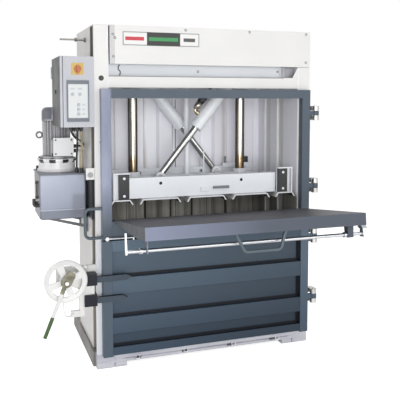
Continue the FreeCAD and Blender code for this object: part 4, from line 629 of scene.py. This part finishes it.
def cabinet_material():
    """Grey enamel, with painted shade darkening its left side and underneath."""
    work = Paintwork("cabinet_paint")
    # painted shade on the faces that look left and down
    tone = work.mix(work.low_side("X"), CABINET_GREY, (0.30, 0.31, 0.33))
    tone = work.mix(work.low_side("Z"), tone, (0.40, 0.41, 0.45))
    return finish_paint(work, tone, 0.08)


def cabinet_door_material():
    """Grey enamel with its left side painted black as the shadow of the gap beside the door."""
    work = Paintwork("cabinet_door_paint")
    # painted shadow on the faces that look left
    return finish_paint(work, work.mix(work.low_side("X"), CABINET_GREY, (0.020, 0.021, 0.025)), 0.08)


def tank_material():
    """Oil tank: grey blue front, shaded side, a pressed seam above its foot, and a painted shadow on its
    lower front.
    """
    work = Paintwork("tank_paint")
    tone = work.mix(work.past("Z", 1050, 1260), (0.30, 0.33, 0.43), (0.45, 0.49, 0.60))
    foot = work.past("Z", 1038, 1042, 1, 0)
    tone = work.mix(foot, tone, (0.18, 0.205, 0.265))
    tone = work.mix(work.low_side("X"), tone, (0.150, 0.154, 0.172))
    tone = work.mix(work.span("Z", 1042.5, 1046.5, 1), tone, (0.58, 0.62, 0.70))
    # painted shadow on the lower front
    smear_and_shadow = work.both(work.window(-893, -806, 1000, 1146, 12),
                      work.ramp(work.noise(5.0, 3.0), 0.3, 0.6, 0.35, 0.75))
    tone = work.mix(smear_and_shadow, tone, (0.20, 0.20, 0.25))
    return finish_paint(work, tone, 0.16, 0.34)


def motor_material():
    """Light grey motor, with painted shade between its fins."""
    work = Paintwork("motor_paint")
    # painted shade: darkens in the narrow gaps between the fins
    fin_gap_shade = work.math("MULTIPLY", work.ramp(work.crevice(0.02), 0.35, 0.85, 1, 0), 0.85)
    tone = work.mix(fin_gap_shade, (0.50, 0.50, 0.53), DEEP_GAP)
    return finish_paint(work, tone, 0.2, 0.36)


def cowl_material():
    """Motor cowl: slate crown, light grey skirt with painted shade on its left side."""
    work = Paintwork("cowl_paint")
    crown = work.past("Z", 1655, 1665)
    # painted shade on the faces that look left
    side = work.low_side("X", -0.95, -0.6)
    skirt = work.mix(side, (0.44, 0.44, 0.46), (0.20, 0.205, 0.23))
    return finish_paint(work, work.mix(crown, skirt, (0.125, 0.135, 0.165)), 0.2, 0.36)


def bell_material():
    """Cast bell: silver grey, dark ventilation slots round its upper flange, oil stains below."""
    work = Paintwork("bell_paint")
    to_right = work.math("SUBTRACT", work.axis("X"), along("X", -965))
    to_back = work.math("SUBTRACT", work.axis("Y"), along("Y", 520))
    turn = work.math("ARCTAN2", to_back, to_right)
    slot_count = 9.0
    wave = work.math("SINE", work.math("MULTIPLY", turn, slot_count))
    slots = work.both(work.ramp(wave, -0.05, 0.15), work.span("Z", 1354, 1379, 1))
    stains = work.ramp(work.noise(8.0, 5.0, rough=0.65), 0.50, 0.70, 0.0, 0.40)
    tone = work.mix(stains, (0.93, 0.92, 0.94), (0.44, 0.37, 0.33))
    tone = work.mix(slots, tone, DEEP_GAP)
    return finish_paint(work, tone, 0.25, 0.30)


def terminal_material():
    """Pale terminal box with dark screw heads."""
    work = Paintwork("terminal_paint")
    screws = work.past("Y", 351.4, 351.8, 1, 0)
    return finish_paint(work, work.mix(screws, (0.80, 0.81, 0.82), DARK_SCREW), 0.25)


def cover_material():
    """Top cover with a grey strip of painted shade at its left end."""
    work = Paintwork("cover_paint")
    # painted shade on a front strip at the left end
    strip = work.both(work.span("X", -679, -646, 1),
                      work.past("Y", 2, 4, 1, 0))
    return finish_paint(work, work.mix(strip, WHITE, (0.60, 0.60, 0.60)))


def lock_arm_material():
    """Door straps in slate with near black end blocks, upper edges darkened as painted shade, and corners
    darkened to the shadow colour.
    """
    work = Paintwork("lock_arm_paint")
    block = work.past("X", -797, -795, 1, 0)
    # painted shade on the faces that point up
    edge = work.ramp(work.facing("Z"), 0.6, 0.9)
    tone = work.mix(work.most(block, edge), shade(SLATE, 0.80), (0.020, 0.022, 0.030))
    wear = work.both(work.edge_mask(0.003), work.ramp(work.noise(40.0, 5.0), 0.45, 0.6))
    return finish_paint(work, work.mix(wear, tone, (0.22, 0.22, 0.23)), 0.10, 0.38, SHADOW, 0.15)


def ratchet_material():
    """Olive ratchet head on a bare, dull silver lever."""
    work = Paintwork("ratchet_finish")
    head = work.disc("XZ", (-999, 0, 650), 78, 4)
    patches = work.ramp(work.noise(24.0, 5.0), 0.42, 0.62)
    olive = work.mix(patches, (0.30, 0.285, 0.20), (0.13, 0.125, 0.08))
    tone = work.mix(head, (0.76, 0.76, 0.755), olive)
    # corners darken towards near black: soiling with painted shade
    return finish_paint(work, tone, 0.3, 0.38, (0.06, 0.055, 0.04))


def fitting_material():
    """Brass port and elbow at the barrel's mouth, black hose sleeve on the line above."""
    work = Paintwork("fitting_finish")
    hose = work.past("Z", 1770, 1774)
    stains = work.ramp(work.noise(30.0, 4.0), 0.45, 0.65, 0.0, 0.5)
    tone = work.mix(stains, (0.54, 0.48, 0.34), (0.24, 0.20, 0.12))
    tone = work.mix(hose, tone, (0.018, 0.018, 0.019))
    work.rounded(0.0008)
    work.bump(work.noise(300.0, 2.0), 0.2, 0.0003)
    return work.finish(tone, work.ramp(hose, 0, 1, 0.28, 0.5), work.math("SUBTRACT", 1.0, hose))


def base_material():
    """Base beams: brown grey primer outside with a rubbed light edge."""
    work = Paintwork("base_paint")
    rub = work.both(work.edge_mask(0.004), work.ramp(work.noise(30.0, 5.0), 0.40, 0.60, 0.0, 0.7))
    patches = work.ramp(work.noise(4.0, 5.0, rough=0.7), 0.40, 0.65)
    tone = work.mix(patches, (0.25, 0.235, 0.22), (0.16, 0.15, 0.145))
    return finish_paint(work, work.mix(rub, tone, (0.50, 0.50, 0.50)), 0.3, 0.55)


def sill_material():
    """Lilac grey sill, smeared, with a darker pressed line along its front."""
    work = Paintwork("sill_paint")
    smear_and_shadow = work.ramp(work.noise(9.0, 5.0, stretch=(0.3, 1, 2), rough=0.7), 0.38, 0.66)
    tone = work.mix(smear_and_shadow, (0.62, 0.62, 0.67), (0.47, 0.475, 0.54))
    line = work.both(work.span("Z", 47, 57, 2), work.span("X", -600, 640, 20),
                     work.ramp(work.noise(5.0, 4.0), 0.35, 0.55, 0.35, 0.9))
    return finish_paint(work, work.mix(line, tone, (0.24, 0.24, 0.30)), 0.25)


finishes = {
    white_paint: ("roof_plate", "lock_carrier", "lock_catch"),
    cover_material(): ("top_cover",),
    ram_paint: ("switch_rods",),
    ram_material(): ("platen_frame",),
    head_material(): ("head_frame",),
    wall_material(): ("side_wall_right", "rear_wall"),
    left_wall_material(): ("side_wall_left",),
    # the set-back panel is a greyer white: painted shade under the cover
    painted("recess_shade_paint", (0.63, 0.655, 0.69), 0.42, 0.10): ("recess_panel",),
    door_material(): ("lower_door",),
    window_door_material(): ("upper_door",),
    handle_paint: ("grab_handle", "flap_handle"),
    lock_arm_material(): ("lock_arms",),
    flap_material(): ("flap",),
    cabinet_material(): ("cabinet_shell",),
    cabinet_door_material(): ("cabinet_door",),
    tank_material(): ("oil_tank",),
    painted("tank_lid_paint", (0.17, 0.185, 0.225), 0.40, 0.2): ("tank_lid",),
    bracket_paint: ("tank_bracket",),
    motor_material(): ("motor_body",),
    cowl_material(): ("fan_cowl",),
    bell_material(): ("bell_housing",),
    terminal_material(): ("terminal_box",),
    base_material(): ("base_frame",),
    sill_material(): ("base_sill",),
    barrel_paint: ("front_barrel", "rear_barrel"),
    bright_steel: ("hinge_brackets", "clevis_pins"),
    worn_steel: ("stay_rod",),
    ring_steel: ("lifting_eye",),
    latch_steel: ("door_latch", "flap_bar"),
    dark_steel: ("rod_bushes", "unit_bolts"),
    fitting_material(): ("barrel_fittings",),
    black_plastic: ("cabinet_lock", "cable_glands", "motor_fan", "tank_fittings"),
    grey_plastic: ("button_1", "button_2", "button_3", "button_4", "button_5"),
    yellow_plastic: ("switch_plate",),
    red_plastic: ("switch_knob",),
    green_rubber: ("lever_grip",),
    cable_rubber: ("control_cables",),
    ratchet_material(): ("ratchet_lever",),
    platen_material(): ("platen_plates",),
    guide_material(): ("guide_blocks",),
    guide_rod_material(): ("guide_rods",),
    piston_material(): ("front_rod", "rear_rod"),
    panel_material(): ("button_panel",),
    handwheel_material(): ("handwheel",),
}
for finish, names in finishes.items():
    for name in names:
        piece = nodes[name]
        if not piece.data.materials:
            piece.data.materials.append(finish)
        for material_slot in piece.material_slots:
            material_slot.material = finish

# ------------------------------------------------------------------ cords
CABLE = 0.015             # diameter of every lead, in metres


def lead(name, points, material):
    """One lead as a smooth curve along its route (the drawing's millimetres), from gland to gland."""
    curve = bpy.data.curves.new(name, "CURVE")
    curve.dimensions = "3D"
    spline = curve.splines.new("NURBS")
    spline.points.add(len(points) - 1)
    for target, point in zip(spline.points, points):
        target.co = (*P(*point), 1)
    spline.order_u = 3
    spline.use_endpoint_u = True
    spline.resolution_u = 16
    curve.bevel_depth = CABLE / 2
    curve.bevel_resolution = 4
    curve.use_fill_caps = True
    curve.materials.append(material)
    piece = bpy.data.objects.new(name, curve)
    bpy.context.scene.collection.objects.link(piece)
    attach(piece, "frame")
    return piece


leads = [
    lead("motor_lead_1", [(-915, 150, 1615), (-915, 150, 1560), (-802, 288, 1492), (-808, 386, 1472),
                          (-872, 386, 1472)], cable_rubber),
    lead("motor_lead_2", [(-893, 172, 1615), (-893, 172, 1560), (-802, 299, 1460), (-808, 386, 1440),
                          (-872, 386, 1440)], pale_rubber),
    lead("valve_lead_1", [(-878, 120, 1615), (-878, 120, 1560), (-853, 280, 1502), (-853, 330, 1402),
                          (-853, 330, 1292)], cable_rubber),
    lead("valve_lead_2", [(-850, 140, 1615), (-850, 140, 1560), (-825, 250, 1502), (-825, 300, 1402),
                          (-825, 300, 1292)], amber_rubber),
]
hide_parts("control_cables")


# ------------------------------------------------------------------ mesh tools
TURN_STEPS = 20           # flat sides of a turned piece
STRAP_STEPS = 6           # stretches of a bent strip between two places of its route


def from_bmesh(name, shape, material, body, smooth=False):
    """A shape as an object of its own that rides on a body."""
    mesh = bpy.data.meshes.new(name)
    shape.to_mesh(mesh)
    shape.free()
    mesh.materials.append(material)
    if smooth:
        mesh.polygons.foreach_set("use_smooth", [True] * len(mesh.polygons))
    piece = bpy.data.objects.new(name, mesh)
    bpy.context.scene.collection.objects.link(piece)
    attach(piece, body)
    return piece


def plate_shape(x0, x1, y0, y1, z0, z1, bevel, segments=2):
    """A block between two corners of the drawing, with rounded edges."""
    shape = bmesh.new()
    low, high = P(x0, y0, z0), P(x1, y1, z1)
    middle, size = (low + high) / 2, high - low
    bmesh.ops.create_cube(shape, size=1.0)
    stretch = Matrix.Translation(middle) @ Matrix.Diagonal((*size, 1))
    bmesh.ops.transform(shape, matrix=stretch, verts=shape.verts)
    bmesh.ops.bevel(shape, geom=shape.edges[:], offset=bevel / 1000, segments=segments, affect="EDGES",
                    profile=0.5)
    return shape


def merge(shapes):
    """Several bmesh shapes as one."""
    whole = bmesh.new()
    for shape in shapes:
        mesh = bpy.data.meshes.new("part")
        shape.to_mesh(mesh)
        shape.free()
        whole.from_mesh(mesh)
        bpy.data.meshes.remove(mesh)
    return whole


def turned(profile, start, axis):
    """A turned piece: (distance along the axis, radius) pairs in millimetres, from a start point."""
    shape = bmesh.new()
    turn = Vector(axis).normalized().to_track_quat("Z", "Y").to_matrix().to_4x4()
    rings = []
    for distance, radius in profile:
        ring = []
        for step in range(TURN_STEPS):
            angle = 2 * math.pi * step / TURN_STEPS
            ring.append(shape.verts.new((radius / 1000 * math.cos(angle), radius / 1000 * math.sin(angle),
                                         distance / 1000)))
        rings.append(ring)
    for low, high in zip(rings, rings[1:]):
        for step in range(TURN_STEPS):
            after = (step + 1) % TURN_STEPS
            shape.faces.new((low[step], low[after], high[after], high[step]))
    shape.faces.new(reversed(rings[0]))
    shape.faces.new(rings[-1])
    bmesh.ops.transform(shape, matrix=Matrix.Translation(P(*start)) @ turn, verts=shape.verts)
    return shape


def add_plate(name, body, material, corners, bevel):
    """A small plate or block between two corners, given as x0, x1, y0, y1, z0, z1."""
    return from_bmesh(name, plate_shape(*corners, bevel=bevel), material, body)


def add_turned(name, body, material, profile, places, axis=(0, -1, 0)):
    """Like turned pieces at several places, as one object."""
    shapes = [turned(profile, place, axis) for place in places]
    return from_bmesh(name, merge(shapes), material, body, True)


def strap(name, body, material, route, y0, y1, thickness):
    """A flat bent strip between two depths, on a Catmull-Rom curve through a route of (x, z) places."""
    line = []
    ends = [route[0]] + route + [route[-1]]
    for a, b, c, d in zip(ends, ends[1:], ends[2:], ends[3:]):
        for step in range(STRAP_STEPS):
            t = step / STRAP_STEPS
            line.append(tuple(0.5 * (2 * q + (r - p) * t + (2 * p - 5 * q + 4 * r - w) * t ** 2
                                     + (3 * q - p - 3 * r + w) * t ** 3) for p, q, r, w in zip(a, b, c, d)))
    line.append(route[-1])
    shape = bmesh.new()
    rings = []
    for number, (x, z) in enumerate(line):
        before, after = line[max(number - 1, 0)], line[min(number + 1, len(line) - 1)]
        way = Vector((after[0] - before[0], after[1] - before[1])).normalized()
        across = Vector((-way.y, way.x)) * thickness / 2
        rings.append([shape.verts.new(P(x + side * across.x, y, z + side * across.y))
                      for side, y in ((1, y0), (1, y1), (-1, y1), (-1, y0))])
    for low, high in zip(rings, rings[1:]):
        for corner in range(4):
            after = (corner + 1) % 4
            shape.faces.new((low[corner], low[after], high[after], high[corner]))
    shape.faces.new(reversed(rings[0]))
    shape.faces.new(rings[-1])
    bmesh.ops.recalc_face_normals(shape, faces=shape.faces)
    return from_bmesh(name, shape, material, body)


# ------------------------------------------------------------------ small pieces seen in the photograph
def sign_material():
    """Plain colour fields in a thin grey frame: white, black and white, each with a plain bar."""
    work = Paintwork("sign_fields")
    tone = work.mix(work.window(-588, -72, 2158, 2235), (0.30, 0.30, 0.31), (0.82, 0.82, 0.81))
    tone = work.mix(work.window(-432, -202, 2153, 2240), tone, (0.006, 0.008, 0.006))
    for x0, x1, colour in ((-578, -452, (0.55, 0.03, 0.05)), (-418, -218, (0.03, 0.28, 0.08)),
                           (-178, -96, (0.06, 0.06, 0.06))):
        tone = work.mix(work.window(x0, x1, 2184, 2208, 1), tone, colour)
    return finish_paint(work, tone, 0.04, 0.36)


def scale_material():
    """Grey plate with dark cross lines."""
    work = Paintwork("scale_finish")
    lines = work.ramp(work.math("SINE", work.math("MULTIPLY", work.axis("X"), 700.0)), 0.2, 0.5)
    return finish_paint(work, work.mix(lines, (0.30, 0.31, 0.35), DARK_SCREW), 0.1)


# faces that the small pieces sit on, in the drawing's millimetres
COVER_FACE = -2
COLUMN_FACE = 0
RECESS_FACE = 48
RAM_FACE = 60
REAR_BEAM_FACE = 588
SWITCH_SHELF = 1297       # top of the switch bracket on the rear beam
SILL_FACE = -8
CARRIER_FACE = -78        # front of the door lock's upright carrier
SEATED = 0.1              # how far a piece is let into such a face
CLEAR = 0.1               # how far the recess's edge and seal stay off its panel

# profiles of turned pieces: distance from the face and radius
SCREW_HEAD = ((0, 9), (2, 9), (4, 7.5), (5.2, 4.5), (5.6, 1))
PLUG = ((0, 17), (2.5, 17), (4.5, 15), (5, 11), (3, 9), (3, 2))
RING = ((0, 11), (3, 11), (5, 9.5), (5, 6.5), (2, 5), (2, 1))
KNOB = ((0, 4.5), (34, 4.5), (37, 10), (43, 14.5), (50, 15.5), (57, 13), (62, 7), (63.5, 2))
PLUNGER = ((0, 5), (40, 5), (42, 8), (50, 8), (52, 3))
UNION = ((0, 16), (2, 20), (14, 20), (16, 25), (54, 25), (56, 21), (64, 21))
HOSE_END = ((0, 23), (3, 27), (88, 27), (90, 23))
UPWARDS = (0, 0, 1)
CYLINDER_WAY = (695, 0, 877)          # from the front cylinder's clevis to its upper eye

COVER_SCREWS = ((307, 2266), (752, 2264), (752, 2064), (-163, 2262), (-660, 2220), (-646, 2198), (-657, 2078))
SEAL_ROUTE = [(-607, 2026), (-615, 2010), (-614, 1996), (-603, 1984), (-602, 1970), (-608, 1956)]
GUARD_ROUTE = [(-886, 684), (-909, 697), (-945, 690), (-976, 674), (-998, 650), (-1007, 622), (-1010, 577),
               (-1011, 520), (-1010, 460), (-1005, 430), (-994, 414), (-978, 410), (-962, 416), (-952, 430)]
HOOK_PLACES = (-510, -167, 193, 539)

screw_grey = metal("screw_grey", (0.34, 0.34, 0.35), 0.35, (20, 20, 20), 0.2)
plug_rubber = plastic("plug_rubber", (0.030, 0.036, 0.030), 0.5)

cover_seat = COVER_FACE + SEATED
add_plate("sign_plate", "frame", sign_material(),
          (-594, -66, COVER_FACE - 3, cover_seat, 2152, 2241), 0.6)
add_turned("cover_screws", "frame", screw_grey, SCREW_HEAD,
           [(x, cover_seat, z) for x, z in COVER_SCREWS])
add_turned("recess_screws", "frame", screw_grey, SCREW_HEAD,
           [(-58, RECESS_FACE, 1989), (550, RECESS_FACE, 1996)])
add_turned("column_plug", "frame", plug_rubber, PLUG, [(-738, COLUMN_FACE + SEATED, 1936)])
add_turned("column_ring", "frame", screw_grey, RING, [(-744, COLUMN_FACE + SEATED, 1520)])
# dark grey plate at the recess's right end: painted shade inside the head
recess_end_shade = painted("recess_end_shade", (0.36, 0.36, 0.395), 0.5, 0.25)
add_plate("recess_end", "frame", recess_end_shade, (578.5, 689.8, 56, 59, 1952.3, 2029), 0.5)
add_plate("recess_edge", "frame", white_paint,
          (570, 578, RECESS_FACE - 8, RECESS_FACE - CLEAR, 1955, 2028), 1.0)
strap("recess_seal", "frame", plug_rubber, SEAL_ROUTE,
      RECESS_FACE - 4, RECESS_FACE - CLEAR, 6)

add_turned("arm_knob", "lower_door", white_paint, KNOB, [(-866, -70, 673)], UPWARDS)
strap("lock_guard", "lower_door", white_paint, GUARD_ROUTE,
      CARRIER_FACE - 12, CARRIER_FACE + SEATED, 7)

add_plate("ram_stop", "ram", ram_paint,
          (-34, 28, RAM_FACE - 14, RAM_FACE + SEATED, 1155, 1189), 3)
add_plate("ram_scale", "ram", scale_material(),
          (59, 179, RAM_FACE - 16, RAM_FACE + SEATED, 1172, 1190), 1.5)
add_plate("switch_bracket", "ram", ram_paint,
          (335, 571, REAR_BEAM_FACE - 22, REAR_BEAM_FACE + SEATED, SWITCH_SHELF - 35, SWITCH_SHELF), 2)
add_plate("limit_switch", "ram", black_plastic,
          (519, 553, REAR_BEAM_FACE - 22, REAR_BEAM_FACE - 1, SWITCH_SHELF - SEATED, SWITCH_SHELF + 47), 3)
add_turned("switch_plunger", "ram", worn_steel, PLUNGER,
           [(359, REAR_BEAM_FACE - 11, SWITCH_SHELF - SEATED)], UPWARDS)

hose_block = plate_shape(58, 100, 282, 318, 1788, 1814, bevel=8, segments=3)
from_bmesh("hose_block", hose_block, black_plastic, "front_cylinder")
union_brass = metal("union_brass", (0.60, 0.54, 0.47), 0.30, (30, 30, 1), 0.5)
add_turned("line_union", "front_cylinder", union_brass, UNION, [(11.2, 300, 1728.6)], CYLINDER_WAY)
add_turned("line_hose", "front_cylinder", black_plastic, HOSE_END, [(48.5, 300, 1775.6)],
           CYLINDER_WAY)

sill_hook = metal("sill_hook", (0.70, 0.71, 0.75), 0.40, (20, 20, 20), 0.2)
hooks = []
for x in HOOK_PLACES:
    hooks += [plate_shape(left, left + 5, SILL_FACE - 5, SILL_FACE + SEATED, 44, 74, 1.2)
              for left in (x - 16, x + 11)]
    hooks.append(plate_shape(x - 16, x + 16, SILL_FACE - 9, SILL_FACE - 5 + SEATED, 44, 50, 1.2))
from_bmesh("strap_hooks", merge(hooks), sill_hook, "frame")


# ------------------------------------------------------------------ floor and world
FLOOR_SIZE = 30           # metres, as create_grid takes it
FLOOR_GLOW = 0.75
WORLD_LIGHT = 0.42        # strength on the object; what the camera sees of the world is 1, which is white


def seen_directly(tree):
    """1 for rays from the camera and from shiny surfaces, 0 for the light on the object."""
    path = tree.nodes.new("ShaderNodeLightPath")
    seen = tree.nodes.new("ShaderNodeMath")
    seen.operation = "MAXIMUM"
    tree.links.new(path.outputs["Is Camera Ray"], seen.inputs[0])
    tree.links.new(path.outputs["Is Glossy Ray"], seen.inputs[1])
    return seen.outputs[0]


def floor_material():
    """Pale floor that reads white to the camera and keeps the machine's shadow."""
    material = bpy.data.materials.new("floor")
    material.use_nodes = True
    tree = material.node_tree
    tree.nodes.remove(tree.nodes["Principled BSDF"])
    diffuse = tree.nodes.new("ShaderNodeBsdfDiffuse")
    diffuse.inputs["Color"].default_value = (0.80, 0.80, 0.80, 1)
    glow = tree.nodes.new("ShaderNodeEmission")
    strength = tree.nodes.new("ShaderNodeMath")
    strength.operation = "MULTIPLY"
    strength.inputs[1].default_value = FLOOR_GLOW
    tree.links.new(seen_directly(tree), strength.inputs[0])
    tree.links.new(strength.outputs[0], glow.inputs["Strength"])
    both = tree.nodes.new("ShaderNodeAddShader")
    tree.links.new(diffuse.outputs[0], both.inputs[0])
    tree.links.new(glow.outputs[0], both.inputs[1])
    tree.links.new(both.outputs[0], tree.nodes["Material Output"].inputs["Surface"])
    return material


floor_shape = bmesh.new()
bmesh.ops.create_grid(floor_shape, x_segments=1, y_segments=1, size=FLOOR_SIZE)
floor_mesh = bpy.data.meshes.new("floor")
floor_shape.to_mesh(floor_mesh)
floor_shape.free()
floor_mesh.materials.append(floor_material())
floor = bpy.data.objects.new("floor", floor_mesh)
bpy.context.scene.collection.objects.link(floor)

world = bpy.data.worlds.new("studio")
bpy.context.scene.world = world
world.use_nodes = True
tree = world.node_tree
sky = tree.nodes["Background"]
bright = tree.nodes.new("ShaderNodeMapRange")
bright.inputs["To Min"].default_value = WORLD_LIGHT
bright.inputs["To Max"].default_value = 1.0
tree.links.new(seen_directly(tree), bright.inputs["Value"])
tree.links.new(bright.outputs["Result"], sky.inputs["Strength"])
sky.inputs["Color"].default_value = (1, 1, 1, 1)
